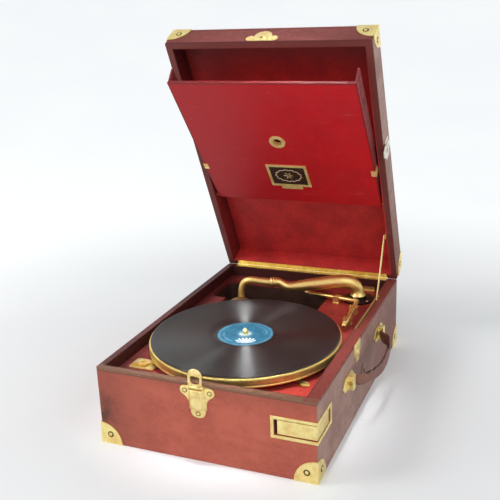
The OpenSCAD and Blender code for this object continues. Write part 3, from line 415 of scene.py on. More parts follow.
def dark_paint(name, tone, light, rough=(0.3, 0.55), space="case"):
    g = Graph(name, space)
    cloud = g.noise(14, 5, 0.65)
    small = g.noise(2, 4, 0.7)
    color = g.fade(cloud, 0.35, 0.66, tone, light)
    color = g.mix(g.ease(small, 0.62, 0.74, 0, 0.5), color, srgb(96, 74, 58))
    return g.done(color, g.ease(small, 0.35, 0.7, *rough), g.bump(small, 0.1, 0.4))


def rail_brass():
    """The slotted rail of the lid stay: bright along its inner edge, covered red beyond it."""
    g = Graph("rail_brass")
    small = g.noise(4, 4, 0.7)
    red = g.fade(small, 0.35, 0.65, srgb(122, 40, 34), srgb(88, 28, 26))
    inner = g.under(g.x, 132.7, 0.25)
    return g.done(g.mix(inner, red, srgb(236, 186, 116)), g.ease(inner, 0, 1, 0.6, 0.35), g.bump(small, 0.1, 0.3))


def felt():
    g = Graph("turntable_felt")
    nap = g.noise(0.5, 3, 0.7)
    patch = g.noise(12, 5, 0.6)
    color = g.fade(patch, 0.35, 0.66, srgb(104, 54, 46), srgb(76, 40, 36))
    color = g.fade(nap, 0.4, 0.66, color, srgb(58, 30, 28))
    return g.done(color, 0.9, g.bump(nap, 0.25, 0.7), Sheen_Weight=0.4)


def black_wood():
    g = Graph("black_wood")
    rings = g.noise(5, 5, 0.6, stretch=(2.6, 0.22, 2.6))
    worn = g.noise(7, 4, 0.7)
    color = g.fade(rings, 0.36, 0.64, srgb(26, 18, 15), srgb(52, 34, 26))
    color = g.mix(g.ease(worn, 0.58, 0.72, 0, 0.6), color, srgb(98, 66, 44))
    rough = g.ease(worn, 0.3, 0.7, 0.28, 0.5)
    return g.done(color, rough, g.bump(rings, 0.08, 0.5), Coat_Weight=0.3, Coat_Roughness=0.25)


def mica():
    g = Graph("mica")
    flake = g.noise(6, 5, 0.7)
    ring = g.cells(7)
    color = g.fade(flake, 0.35, 0.66, srgb(196, 188, 164), srgb(150, 138, 110))
    rough = g.ease(ring, 0.1, 0.7, 0.18, 0.4)
    return g.done(color, rough, g.bump(ring, 0.05, 0.4), Coat_Weight=0.5, Coat_Roughness=0.1)


def strap_leather():
    """Handle leather: painted shade in its folds and hollows, rubbed on its outer face and near the front bracket."""
    g = Graph("strap_leather")
    fold = g.node("ShaderNodeAttribute", attribute_name="fold").outputs["Fac"]
    outer = g.node("ShaderNodeAttribute", attribute_name="outer").outputs["Fac"]
    small = g.noise(1.4, 4, 0.7)
    patch = g.noise(11, 5, 0.65)
    color = g.fade(patch, 0.35, 0.66, srgb(124, 66, 56), srgb(86, 44, 38))
    rubbed = g.fade(small, 0.35, 0.65, srgb(150, 100, 84), srgb(112, 68, 56))
    color = g.tint(color, g.ease(outer, 0.2, 0.9), 0.75, rubbed)
    front = g.all(g.ease(g.y, -30 * MM, -62 * MM), g.ease(small, 0.4, 0.64))
    color = g.tint(color, front, 0.65, srgb(152, 104, 68))
    # painted shade: the folds and hollows are darkened
    color = g.mix(g.ease(fold, 0.25, 0.85, 0, 0.92), color, srgb(30, 18, 17))
    crack = g.ease(g.cells(2.2, "DISTANCE_TO_EDGE"), 0.0, 0.07, 1, 0)
    color = g.tint(color, crack, 0.45, srgb(44, 26, 22))
    height = g.math("SUBTRACT", g.times(small, 0.8), g.times(crack, 0.9))
    return g.done(color, g.ease(small, 0.3, 0.7, 0.4, 0.62), g.bump(height, 0.25, 0.7), Specular_IOR_Level=0.5)


def plaque_enamel():
    g = Graph("plaque_enamel", "tray")
    small = g.noise(2.4, 4, 0.7)
    color = g.fade(small, 0.36, 0.66, srgb(34, 20, 18), srgb(64, 34, 26))
    return g.done(color, g.ease(small, 0.3, 0.7, 0.3, 0.55), g.bump(small, 0.08, 0.4))


def floor_card():
    g = Graph("studio_floor")
    soft = g.noise(420, 3, 0.5)
    fine = g.noise(3, 3, 0.6)
    color = g.fade(soft, 0.3, 0.7, srgb(240, 242, 242), srgb(236, 238, 239))
    color = g.mix(g.ease(fine, 0.4, 0.7, 0, 0.2), color, srgb(231, 233, 234))
    glow = g.ease(g.radius((0, 0)), 0.35, 1.1, 0, 0.26)
    return g.done(color, 0.75, g.bump(fine, 0.05, 0.2), Specular_IOR_Level=0.2, Emission_Color=(1, 1, 1, 1),
                  Emission_Strength=glow)


GOLD, GOLD_DARK = srgb(255, 238, 164), srgb(240, 208, 132)
gilt, gilt_lid = metals("gilt_brass", GOLD, GOLD_DARK, rough=(0.30, 0.44), pits=0.8)
etched = metal("etched_brass", srgb(255, 236, 168), srgb(226, 188, 114), rough=(0.34, 0.56), pits=1.1, grain=0.8)
pale_gilt = metal("pale_gilt", srgb(244, 222, 176), srgb(206, 170, 112), "tray", pits=0.4)
gilt_tray = metal("gilt_brass_tray", srgb(255, 230, 156), srgb(236, 196, 116), "tray", rough=(0.3, 0.42),
                  pits=0.2, metallic=0.5)
satin = metal("satin_gold", srgb(255, 218, 140), srgb(240, 198, 120), rough=(0.34, 0.42), pits=0.12)
copper_rim = metal("copper_rim", srgb(255, 234, 146), srgb(238, 204, 116), rough=(0.42, 0.5), pits=0.2)
# dark metal for the eyelets round the screws: patina, and painted shade round each screw head
patina_and_shade, patina_and_shade_lid = metals("patina_and_shade", srgb(120, 90, 50), srgb(70, 48, 26), rough=(0.4, 0.6), pits=0.9)
old_brass, old_brass_lid = metals("old_brass", srgb(206, 166, 96), srgb(138, 100, 52), rough=(0.3, 0.5), pits=0.9)
olive_brass = metal("olive_brass", srgb(255, 224, 148), srgb(224, 186, 110), rough=(0.26, 0.4), pits=0.35)
nickel = metal("worn_nickel", srgb(246, 242, 232), srgb(208, 198, 180), "lid", rough=(0.2, 0.4), pits=0.5)
nickel_case = metal("worn_nickel_case", srgb(200, 196, 188), srgb(140, 130, 116), rough=(0.2, 0.4), pits=0.4)
cloth_case = leathercloth("leathercloth_case", "case", CASE_H, True)
cloth_lid = leathercloth("leathercloth_lid", "lid", LID_TOP, False)
black_lacquer = dark_paint("black_lacquer", srgb(20, 14, 13), srgb(34, 24, 21))
horn_paint = dark_paint("horn_paint", srgb(52, 32, 24), srgb(74, 44, 34), (0.45, 0.7))
machined = metal("machined_steel", srgb(150, 148, 143), srgb(98, 94, 88), rough=(0.25, 0.45),
                 pits=0.35, pit_color=srgb(88, 62, 46), grain=0.7)
cast = dark_paint("cast_frame", srgb(58, 58, 56), srgb(84, 82, 78), (0.45, 0.65))
deck_red, record_black, label_blue, felt_red = deck_board(), shellac(), label_paper(), felt()
crimson, tray_red, enamel = crimson_panel(), lining_cloth(), plaque_enamel()
wood_black, mica_pale, leather = black_wood(), mica(), strap_leather()


# ---- mesh tools ----
def circle(n):
    """Cosine and sine at n even steps round a circle."""
    return [(math.cos(2 * math.pi * k / n), math.sin(2 * math.pi * k / n)) for k in range(n)]


def spline(points, steps):
    """A smooth curve through the points, with that many steps between neighbours."""
    p = [Vector(q) for q in points]
    out = []
    for i in range(len(p) - 1):
        a, b, c, d = p[max(i - 1, 0)], p[i], p[i + 1], p[min(i + 2, len(p) - 1)]
        for k in range(steps):
            t = k / steps
            bend, twist = 2 * a - 5 * b + 4 * c - d, 3 * b - a - 3 * c + d
            out.append(0.5 * (2 * b + (c - a) * t + bend * t * t + twist * t ** 3))
    return out + [p[-1]]


def arc(cx, cy, r, start, end, n=8):
    """Points along an arc between two angles in degrees."""
    return [(cx + r * math.cos(math.radians(start + (end - start) * k / n)),
             cy + r * math.sin(math.radians(start + (end - start) * k / n))) for k in range(n + 1)]


def rounded_rect(x0, y0, x1, y1, r, n=6):
    return (arc(x1 - r, y0 + r, r, -90, 0, n) + arc(x1 - r, y1 - r, r, 0, 90, n)
            + arc(x0 + r, y1 - r, r, 90, 180, n) + arc(x0 + r, y0 + r, r, 180, 270, n))


def frame_to(at, out, turn=0.0, up=(0, 0, 1)):
    """Matrix that puts local +Z along out, with local +Y as near to up as it gets, then turned about out."""
    z = Vector(out).normalized()
    x = Vector(up).cross(z)
    x = x.normalized() if x.length > 1e-6 else Vector((1, 0, 0))
    turned = Matrix((x, z.cross(x), z)).transposed().to_4x4() @ Matrix.Rotation(math.radians(turn), 4, "Z")
    return Matrix.Translation(at) @ turned


class Build:
    """Collects closed shapes, in millimetres, for one piece."""

    def __init__(self, space="case"):
        self.matrix = SPACES[space][0]
        self.verts, self.faces = [], []

    def add(self, verts, faces, place=HERE):
        n = len(self.verts)
        self.verts += [self.matrix @ (place @ Vector(v)) for v in verts]
        self.faces += [[n + i for i in f] for f in faces]
        return self

    def rings(self, rings, place=HERE, caps=True):
        """A skin over rings of points, each with the same number."""
        m = len(rings[0])
        faces = [[i * m + k, i * m + (k + 1) % m, (i + 1) * m + (k + 1) % m, (i + 1) * m + k]
                 for i in range(len(rings) - 1) for k in range(m)]
        if caps:
            faces += [list(range(m))[::-1], [(len(rings) - 1) * m + k for k in range(m)]]
        return self.add([p for ring in rings for p in ring], faces, place)

    def lathe(self, profile, place=HERE, sides=48):
        """profile is (radius, height) points from the bottom to the top of one side."""
        profile = [(max(r, 0.001), z) for r, z in profile]
        return self.rings([[(r * c, r * s, z) for c, s in circle(sides)] for r, z in profile], place)

    def washer(self, profile, place=HERE, sides=96):
        """A ring whose closed section is profile."""
        closed = list(profile) + [profile[0]]
        return self.rings([[(r * c, r * s, z) for c, s in circle(sides)] for r, z in closed], place, caps=False)

    def tube(self, points, radii, sides=24, caps=True):
        points = [Vector(p) for p in points]
        last = len(points) - 1
        heading = [(points[min(i + 1, last)] - points[max(i - 1, 0)]).normalized() for i in range(last + 1)]
        side = heading[0].orthogonal().normalized()
        rings = []
        for i, (p, t) in enumerate(zip(points, heading)):
            side = (side - t * side.dot(t)).normalized()
            other = t.cross(side)
            r = radii[i] if isinstance(radii, (list, tuple)) else radii
            rings.append([p + r * (c * side + s * other) for c, s in circle(sides)])
        return self.rings(rings, caps=caps)

    def plate(self, outline, thick, place=HERE, edge=0.35):
        """A flat plate with a rounded upper edge, from local z 0 to thick. The outline turns left."""
        n = len(outline)
        pts = [Vector((x, y)) for x, y in outline]
        inward = []
        for i in range(n):
            a = (pts[i] - pts[i - 1]).normalized()
            b = (pts[(i + 1) % n] - pts[i]).normalized()
            m = Vector((-(a.y + b.y), a.x + b.x))
            short = max(0.5, math.cos(a.angle(b, 0) / 2))
            inward.append(m.normalized() / short if m.length > 1e-6 else Vector((-a.y, a.x)))
        levels = [(0, 0), (0, thick - edge), (0.3 * edge, thick - 0.3 * edge), (edge, thick)]
        return self.rings([[(*(p + d * w), z) for p, w in zip(pts, inward)] for d, z in levels], place)

    def screw(self, at, out, r=2.4, turn=20.0, high=None):
        """A domed screw head with a slot, standing on the point at."""
        place = frame_to(at, out, turn)
        high = r * 0.42 if high is None else high
        slot, low = r * 0.13, high * 0.35
        dome = lambda x, y: high * math.sqrt(max(0.0, 1 - (x * x + y * y) / (r * r))) * 0.92 + high * 0.08
        self.lathe([(r * 0.985, -0.3), (r * 0.985, 0.0), (r * 0.93, low * 0.8), (0, low)], place, 28)
        for s in (-1, 1):
            xs = [slot + (r * 0.995 - slot) * math.sin(math.pi / 2 * i / 6) for i in range(7)]
            rows = []
            for x in xs:
                half = math.sqrt(max(r * r - x * x, 0.0)) * 0.999
                rows.append([(s * x, half * math.sin(math.pi / 2 * (j / 5 - 1)), 0) for j in range(11)])
            top = [[(x, y, dome(x, y)) for x, y, _ in row] for row in rows]
            wall = [[(x, y, -0.2) for x, y, _ in rows[0]], top[0]]
            for grid in (top, wall):
                m = len(grid[0])
                quads = [[i * m + j, i * m + j + 1, (i + 1) * m + j + 1, (i + 1) * m + j]
                         for i in range(len(grid) - 1) for j in range(m - 1)]
                self.add([p for row in grid for p in row], quads, place)
        return self

    def done(self, name, material, body, *replaced, crease=35, **point_values):
        """Makes the piece. point_values are attributes with one number for each point."""
        mesh = bpy.data.meshes.new(name)
        mesh.from_pydata([v * MM for v in self.verts], [], self.faces)
        for title, values in point_values.items():
            mesh.attributes.new(title, "FLOAT", "POINT").data.foreach_set("value", values)
        bm = bmesh.new()
        bm.from_mesh(mesh)
        if not point_values:
            bmesh.ops.remove_doubles(bm, verts=bm.verts, dist=2e-6)
        bmesh.ops.recalc_face_normals(bm, faces=bm.faces)
        bm.to_mesh(mesh)
        bm.free()
        return finish_piece(name, mesh, material, body, replaced, crease)


def finish_piece(name, mesh, material, body, replaced=(), crease=35):
    mesh.shade_smooth()
    mesh.set_sharp_from_angle(angle=math.radians(crease))
    mesh.materials.clear()
    mesh.materials.append(material)
    piece = bpy.data.objects.new(name, mesh)
    bpy.context.scene.collection.objects.link(piece)
    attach(piece, body)
    if replaced:
        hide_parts(*replaced)
    return piece


def soften(node, material, width=0.4, shortest=0.6, segments=2, angle=28, keep=lambda edge: True):
    """A copy of a CAD node with its longer sharp edges rounded, shown in its place."""
    bm = bmesh.new()
    bm.from_mesh(nodes[node].data)
    bmesh.ops.remove_doubles(bm, verts=bm.verts, dist=2e-6)
    bmesh.ops.dissolve_limit(bm, angle_limit=math.radians(0.5), verts=bm.verts, edges=bm.edges)
    sharp = [e for e in bm.edges if len(e.link_faces) == 2 and e.calc_face_angle(0) > math.radians(angle)
             and e.calc_length() > shortest * MM and keep(e)]
    bmesh.ops.bevel(bm, geom=sharp, offset=width * MM, segments=segments, profile=0.5, affect="EDGES",
                    clamp_overlap=True)
    mesh = bpy.data.meshes.new(node + "_look")
    bm.to_mesh(mesh)
    bm.free()
    return finish_piece(node + "_look", mesh, material, body_of[node], [node], 30)


def paint(material, *names):
    """A CAD node whose shape is right keeps it, and gets this material."""
    for n in names:
        mesh = nodes[n].data
        mesh.materials.clear()
        mesh.materials.append(material)


# ---- case and lid ----
def off_joints(edge):
    """False for an edge where two walls of the case meet."""
    return not all(abs(abs(v.co.y) - (HALF_D - 9) * MM) < 0.0003 for v in edge.verts)


paint(horn_paint, "horn_bowl", "horn_throat")
paint(deck_red, "motor_board")
paint(cast, "motor_bed", "motor_frame")
paint(machined, "mainspring", "winding_wheel", "winding_shaft", "governor_shaft")
paint(old_brass, "spring_barrel", "mid_wheel", "governor_weights", "needle_bin_cup")
paint(old_brass_lid, "tray_guides")
paint(felt_red, "platter_felt")
for n in ("front_wall", "back_wall", "left_wall", "right_wall"):
    soften(n, cloth_case, 1.1, 9, 3, keep=off_joints)
soften("case_base", cloth_case, 0.8, 9, 2)
soften("lid_walls", cloth_lid, 1.1, 9, 3)
soften("lid_top", cloth_lid, 1.3, 9, 3)
for n in ("case_corners", "side_fittings", "handle_brackets"):
    soften(n, gilt, 0.45)
# the small plate round the winding hole, below the lid catch, is covered in cloth
fittings = bpy.data.objects["side_fittings_look"].data
fittings.materials.append(cloth_case)
for face in fittings.polygons:
    if face.center.z < 75 * MM:
        face.material_index = 1
for n in ("needle_bin_frame", "needle_bin_cover"):
    soften(n, gilt, 0.35)
soften("lid_corners", gilt_lid, 0.45)
soften("lid_fittings", gilt_lid, 0.3)
paint(gilt, "hinge_leaf_case", "deck_clips", "brake_plate")
paint(rail_brass(), "stay_rail")
soften("brake_lever", satin)
soften("speed_lever", copper_rim)
paint(gilt_lid, "hinge_leaf_lid")
soften("stay_bar", gilt_lid, 0.2)
soften("side_latch_plate", nickel, 0.3)
soften("side_latch_lever", nickel)
soften("tonearm_base", black_lacquer, 0.5)

# ---- record tray ----
soften("tray_panel", crimson, 0.8, 4)
soften("tray_pocket", tray_red, 0.7, 3)
paint(gilt_tray, "tray_fittings", "picture_frame")
paint(enamel, "picture_plate")


# ---- turntable and record ----
def turntable():
    at = Matrix.Translation(SPINDLE)
    rim = [(4, 98), (12, 98), (12, 104.4), (124, 104.4), (125.4, 103), (125.4, 95.5), (126.2, 95), (126.9, 95.6),
           (127, 97), (126.6, 97.6), (126.6, 103.6), (127, 104.2), (127, 105.6), (126.6, 106.6), (125.6, 107), (4, 107)]
    Build().washer(rim, at, 160).done("platter_look", copper_rim, "turntable", "platter", "platter_rim", crease=28)
    disc = [(4, 107.75), (124, 107.75), (124.9, 108.1), (125, 108.6), (124.6, 109.2), (123.8, 109.5), (122.9, 109.38),
            (100, 109.4), (60, 109.4), (44, 109.4), (43.2, 109.22), (38.2, 109.22), (37.4, 109.4), (37, 109.38),
            (36.8, 109.05), (4, 109.05)]
    Build().washer(disc, at, 192).done("record_look", record_black, "turntable", "record", crease=40)
    paper = [(4, 109.04), (36.7, 109.04), (36.75, 109.3), (36.2, 109.4), (4.2, 109.4)]
    Build().washer(paper, at, 128).done("label_look", label_blue, "turntable", "record_label", crease=40)


turntable()
paint(gilt, "spindle_shaft")


# ---- tonearm ----
PIVOT = Vector((96, 147, 0))
RING = Vector((-25, 103.5, 119))
ALONG = Vector((RING.x - PIVOT.x, RING.y - PIVOT.y, 0)).normalized()
FRONT = Vector((-ALONG.y, ALONG.x, 0))


def beyond(along, front, up):
    return RING + along * ALONG + front * FRONT + Vector((0, 0, up))


def tonearm():
    path = [PIVOT + Vector((0, 0, z)) for z in (84, 94, 96, 98.5, 101)]
    radii = [8.2, 8.3, 12.1, 10.4, 9.0]
    # distance from the pivot, height and radius
    droop = [(1.2, 106, 8.9), (6, 112, 9.6), (15, 116.6, 10.2), (28, 117.8, 10.4), (48, 116.2, 9.7),
             (76, 113.4, 8.7), (98, 111.2, 7.2), (108, 111.8, 6.8), (115, 115.6, 6.6), (119.5, 118.4, 6.6),
             (123, 119, 6.8), (127.4, 119, 6.9)]
    shape = spline(droop, 5)
    path += [PIVOT + along * ALONG + Vector((0, 0, high)) for along, high, r in shape]
    radii += [r for along, high, r in shape]
    b = Build()
    b.tube(path, radii, 40)
    b.tube([RING - k * ALONG for k in (2.8, 2.2, 1.0, 0.4)], [7.1, 7.6, 7.6, 7.1], 40)
    b.done("tonearm_look", satin, "tonearm", "tonearm_tube", crease=50)
    neck = [beyond(*p) for p in (
        (0, 0, 0), (6, 0, 0), (19, -1.5, 1.4), (33, -4, 2.4), (43, -6, -1.5), (48, -6.5, -12), (49.5, -5, -24),
        (49.3, -1, -33), (49.1, 6, -37.8), (49, 14, -38.5),
    )]
    line = spline(neck, 8)
    g = Build()
    g.tube(line, [6.2 + (4.8 - 6.2) * i / (len(line) - 1) for i in range(len(line))], 32)
    g.tube([RING + k * ALONG for k in (-0.1, 0.5, 1.6, 2.8, 4)], [6.6, 7.5, 7.9, 7.4, 6.4], 40)
    g.tube([line[-1] - FRONT, line[-1] + 7 * FRONT], 4, 24)
    g.done("gooseneck_look", satin, "gooseneck", "gooseneck", crease=50)


tonearm()


def soundbox():
    """The soundbox: local +Z looks out of its face and local +Y is where its needle points."""
    middle = beyond(49, 28, -38.5)
    turn = math.atan2(ALONG.y, ALONG.x) + math.pi
    place = (Matrix.Translation(middle) @ Matrix.Rotation(turn, 4, "Z") @ Matrix.Rotation(math.radians(90), 4, "X")
             @ Matrix.Rotation(math.radians(102), 4, "Z"))
    b = Build()
    b.lathe([(4.2, -13.4), (7.6, -13.4), (8, -12.8), (8, -8), (9.5, -6.6), (19, -5), (23.4, -5), (24.5, -4.2),
             (24.5, -1), (23.9, 0), (24.5, 1), (24.5, 6), (23.8, 7), (22.4, 7), (21.4, 6.2), (21, 3.4), (20.6, 3.2),
             (0, 3.1)], place, 96)
    b.done("soundbox_look", old_brass, "soundbox", "soundbox", crease=40)
    d = Build()
    d.lathe([(20.6, 3.25), (20.6, 3.6), (3, 3.75), (2.6, 4.6), (0, 4.8)], place, 72)
    d.done("diaphragm_look", mica_pale, "soundbox", "diaphragm", crease=40)
    s = Build()
    s.tube([place @ Vector((0, y, 4.4)) for y in (1, 12, 22)], [0.7, 0.9, 1.2], 12)
    s.plate(rounded_rect(-2.6, 24.4, 2.6, 28.5, 1), 7.6, place @ Matrix.Translation((0, 0, -1.2)), 0.5)
    s.tube([place @ Vector((0, y, 4)) for y in (28.3, 28.8, 36.6, 37.2)], [1.8, 2.2, 2.2, 1.8], 24)
    s.tube([place @ Vector((0, y, 4)) for y in (36.5, 46, 49.3)], [0.8, 0.6, 0.15], 16)
    s.screw(place @ Vector((0, 33, 6.1)), place.to_3x3() @ Vector((0, 0, 1)), 1.2, 10)
    s.done("needle_look", nickel_case, "soundbox", "needle", crease=40)


soundbox()


# ---- crank ----
def crank():
    tip, elbow = Vector((108.5, 22, 96)), Vector((102, 120, 96))
    end, last = Vector((17, 134, 96)), Vector((14.5, 186, 96))
    shaft, arm, grip = (tip - elbow).normalized(), (end - elbow).normalized(), (last - end).normalized()
    b = Build()
    corner = [elbow - 9 * (elbow - tip).normalized(), elbow - 3.2 * (elbow - tip).normalized() + 0.6 * arm,
              elbow + 3.2 * arm - 0.6 * shaft, elbow + 9 * arm]
    b.tube([tip, tip - 0.7 * shaft] + spline([tip - 2 * shaft] + corner, 8), [2.5, 3.3] + [3.3] * 33, 28)
    turned = spline([elbow + 8.5 * arm, elbow + 40 * arm, end - 6 * arm, end - 1.6 * arm + 1.6 * grip,
                     end + 6 * grip], 8)
    b.tube(turned, [3.1] * len(turned), 28)
    b.tube([end + 5.5 * grip, end + 46 * grip], 2.6, 24)
    b.tube([tip - (20 - k) * shaft for k in (0, 0.8, 3, 9, 10.4, 11)], [3.6, 4.8, 5, 4.6, 4.3, 3.4], 28)
    for k in (3, 5, 7):
        b.tube([tip - (k - d) * shaft for d in (-0.6, -0.3, 0.3, 0.6)], [3.2, 3.6, 3.6, 3.2], 28)
    b.done("crank_look", olive_brass, "crank", "crank_rod", crease=40)
    place = frame_to(end + 5 * grip, grip)
    ribs = [(3.0, 0.0)]
    for k in range(4):
        ribs += [(5.2 + 0.3 * k, 0.3 + 1.9 * k), (5.6 + 0.3 * k, 0.9 + 1.9 * k), (5.2 + 0.3 * k, 1.6 + 1.9 * k)]
    ribs += [(6.2, 8.2), (3.0, 8.4)]
    Build().lathe(ribs, place, 40).done("grip_ferrule", nickel_case, "crank_grip", crease=50)
    wood = [(3, 8.3), (6.3, 8.3), (6.8, 12), (7, 20), (6.9, 28), (6.6, 37), (6, 40.4), (4.8, 42.4), (2.6, 43), (0, 43)]
    Build().lathe(wood, place, 40).done("grip_look", wood_black, "crank_grip", "crank_grip", crease=50)


crank()


# ---- handle ----
# hollows in the strap's upper edge: place along the case, width and depth
HOLLOWS = [(-54, 6, 3.8), (-38, 6, 3.6), (-25, 3.2, 2.2), (-16, 2.8, 1.8), (-7, 3, 1.9), (5, 4, 1.5), (42, 9, 3)]


def handle():
    """A padded leather band that bows out and droops, with folds and hollows where a hand has bent it."""
    base = Vector((147.7, 0, 68.5))
    bow = [(0, -76, 0), (2.5, -71, -0.4), (7, -66, -1.5), (15, -46, -5), (20, -15, -10), (21, 15, -11), (18.5, 48, -8),
           (14.5, 62, -4), (7, 67, -1.5), (2.5, 71.5, -0.4), (0, 76, 0)]
    line = [base + p for p in spline(bow, 18)]
    last = len(line) - 1
    rings, folds, outers = [], [], []
    for i, p in enumerate(line):
        t = (line[min(i + 1, last)] - line[max(i - 1, 0)]).normalized()
        out = t.cross(Vector((0, 0, 1))).normalized()
        up = out.cross(t)
        full = min(1.0, 0.56 + 0.042 * (76 - abs(p.y)))
        close = math.exp(-((p.y + 14) / 34) ** 2) * 0.9 + 0.25
        hollow = sum(deep * math.exp(-((p.y - at) / wide) ** 2) for at, wide, deep in HOLLOWS)
        ring = []
        for c, s in circle(36):
            w = 8.4 * math.copysign(abs(s) ** 0.55, s) * full
            d = 2.3 * math.copysign(abs(c) ** 0.8, c) * full
            wave = noise.noise(2.1 * Vector((p.y * 0.11, w * 0.10, c * 0.6)) + Vector((3.1, 0, 0)))
            inner = max(0.0, 0.5 - 0.5 * c) * 0.75 + max(0.0, s) * 0.4
            fold = min(1.0, max(0.0, 1 - abs(wave) / 0.16) * inner * close * 1.3)
            d -= math.copysign(fold, c) if abs(c) > 0.2 else 0.0
            w -= math.copysign(fold, w) * 0.7 if abs(s) > 0.5 else 0.0
            notch = hollow * max(0.0, s) ** 1.5
            w -= notch * (0.7 - 0.3 * c)
            lump = 0.7 * noise.noise(Vector((p.y * 0.06, w * 0.12, 7.3 + c)))
            ring.append(p + out * (d + lump) + up * w)
            # each point's share of painted shade, from its fold and its hollow
            folds.append(max(fold, min(1.0, notch * 0.5)))
            outers.append(max(0.0, c))
        rings.append(ring)
    b = Build().rings(rings)
    b.done("handle_leather", leather, "handle", "handle_strap", crease=60, fold=folds, outer=outers)
    pins = Build()
    for y in (-80, 80):
        pins.tube([base + Vector((0, y + k, 0)) for k in (-5.4, -5, 5, 5.4)], [2.4, 2.9, 2.9, 2.4], 28)
    pins.done("handle_pins", old_brass, "handle")


handle()


# ---- front latch ----
def polar(outline, centre, n=96):
    """Points of a closed outline in n directions from a centre inside it."""
    out = []
    for c, s in circle(n):
        reach = 0
        for p, q in zip(outline, outline[1:] + outline[:1]):
            px, py, qx, qy = p[0] - centre[0], p[1] - centre[1], q[0] - centre[0], q[1] - centre[1]
            away, other = px * s - py * c, qx * s - qy * c
            if away * other <= 0 and away != other:
                t = away / (away - other)
                reach = max(reach, (px + (qx - px) * t) * c + (py + (qy - py) * t) * s)
        out.append((centre[0] + reach * c, centre[1] + reach * s))
    return out


def latch():
    """The front latch: a three-lobed plate, a raised box with sloping sides, and a hasp that is a rounded loop."""
    x, front, pin = LATCH_X, -HALF_D, (4.6, 101.2)
    half = [(0, 100.4), (10, 100.5), (16.4, 100.5), (21, 98.6), (22.7, 94), (20.8, 89.8), (15.2, 85.6), (11.8, 80),
            (10.2, 73), (9.4, 66), (6.6, 61.2), (0, 59.4)]
    edge = spline(half + [(-a, b) for a, b in half[-2::-1]], 5)[:-1]
    face = frame_to((x, front, 0), (0, -1, 0))
    b = Build()
    b.plate([(p.x, p.y) for p in reversed(edge)], 1.4, face, 0.6)
    b.done("latch_plate", gilt, "case", "front_latch_plate", crease=40)
    box = Build()
    levels = ((0.9, 12, 70, 98.2, 1.6), (5.5, 7.7, 73, 97.6, 1.6), (6.2, 7.2, 73.5, 97, 1.4), (6.5, 6.5, 74.2, 96.3, 1))
    box.rings([[(px, pz, d) for px, pz in rounded_rect(-w, z0, w, z1, r)] for d, w, z0, z1, r in levels], face)
    ear = [(-4.5, 94.5), (-1, 94.5), (-1, 103), (-4.6, 103.1)] + arc(-4.6, 101.2, 1.9, 90, 200, 10)
    for side in (-10.4, 8.2):
        box.plate(ear, 2.2, frame_to((x + side, front, 0), (1, 0, 0)), 0.3)
    box.tube([(x + k, front - pin[0], pin[1]) for k in (-11, -10.7, 10.7, 11)], [0.9, 1.3, 1.3, 0.9], 24)
    box.done("latch_box", etched, "case", crease=40)
    centre = (0, 111.2)
    outer = polar([(-9.3, 103.4), (9.3, 103.4)] + arc(0, 116, 9.3, 0, 180, 24), centre)
    hole = polar(rounded_rect(-5.9, 105.4, 5.9, 116.6, 4), centre)
    loop = []
    for (ox, oz), (ix, iz) in zip(outer, hole):
        mx, mz, wx, wz = (ox + ix) / 2, (oz + iz) / 2, (ox - ix) / 2, (oz - iz) / 2
        ring = []
        for c, t in circle(20):
            c, t = math.copysign(abs(c) ** 0.7, c), math.copysign(abs(t) ** 0.7, t)
            ring.append((mx + wx * c, mz + wz * c, pin[0] + 1.35 * t))
        loop.append(ring)
    h = Build()
    h.rings(loop + [loop[0]], face, caps=False)
    h.tube([(x + k, front - pin[0], pin[1]) for k in (-7.9, -7.5, 7.5, 7.9)], [1.6, 2, 2, 1.6], 24)
    h.plate(rounded_rect(-7.7, 101.4, 7.7, 104.8, 0.5), 2, face @ Matrix.Translation((0, 0, pin[0] - 1)), 0.3)
    h.done("hasp_loop", etched, "hasp", "latch_hasp", crease=45)


latch()


def plaque():
    """A gilt wreath of leaves on the plaque, and a rosette in it."""
    middle, face = (0, 5), 110.3
    b = Build("tray")

    def leaf(at, turn, long, wide):
        place = Matrix.Translation((at[0], at[1], face)) @ Matrix.Rotation(turn, 4, "Z")
        b.lathe(arc(0, 0, 1, -90, 90, 6), place @ Matrix.Diagonal((long, wide, 0.45, 1)), 12)

    for k in range(26):
        a = 2 * math.pi * (k + 0.5) / 26
        at = (middle[0] + 19 * math.cos(a), middle[1] + 12.5 * math.sin(a))
        along = math.atan2(12.5 * math.cos(a), -19 * math.sin(a))
        leaf(at, along + (0.55 if k % 2 else -0.55), 2.5, 1.0)
    for k in range(6):
        a = 2 * math.pi * k / 6
        leaf((middle[0] + 4.2 * math.cos(a), middle[1] + 4.2 * math.sin(a)), a, 3.2, 1.5)
    b.done("plaque_wreath", pale_gilt, "record_tray", crease=60)


plaque()


# ---- screws and small fittings ----
EYELET = [(0, -0.3), (4.2, -0.3), (4.1, 0.2), (3.6, 0.35), (2.6, 0.3), (0, 0.3)]


def cap_screws(screw_build, eyelet_build, z, rng, lid_top=None):
    """Screws in eyelets on the outer faces of four corner caps, and on their tops where lid_top is given."""
    for sx in (-1, 1):
        for sy in (-1, 1):
            x, y = sx * HALF_W, sy * HALF_D
            inner_x, inner_y = x - sx * CORNER_SCREW, y - sy * CORNER_SCREW
            places = [((inner_x, y + sy * 0.9, z), (0, sy, 0)), ((x + sx * 0.9, inner_y, z), (sx, 0, 0))]
            if lid_top is not None:
                places.append(((inner_x, inner_y, lid_top + 0.9), (0, 0, 1)))
            for at, out in places:
                eyelet_build.lathe(EYELET, frame_to(at, out), 32)
                screw_build.screw(Vector(at) + 0.2 * Vector(out), out, 2.3, rng.uniform(0, 180), 0.9)


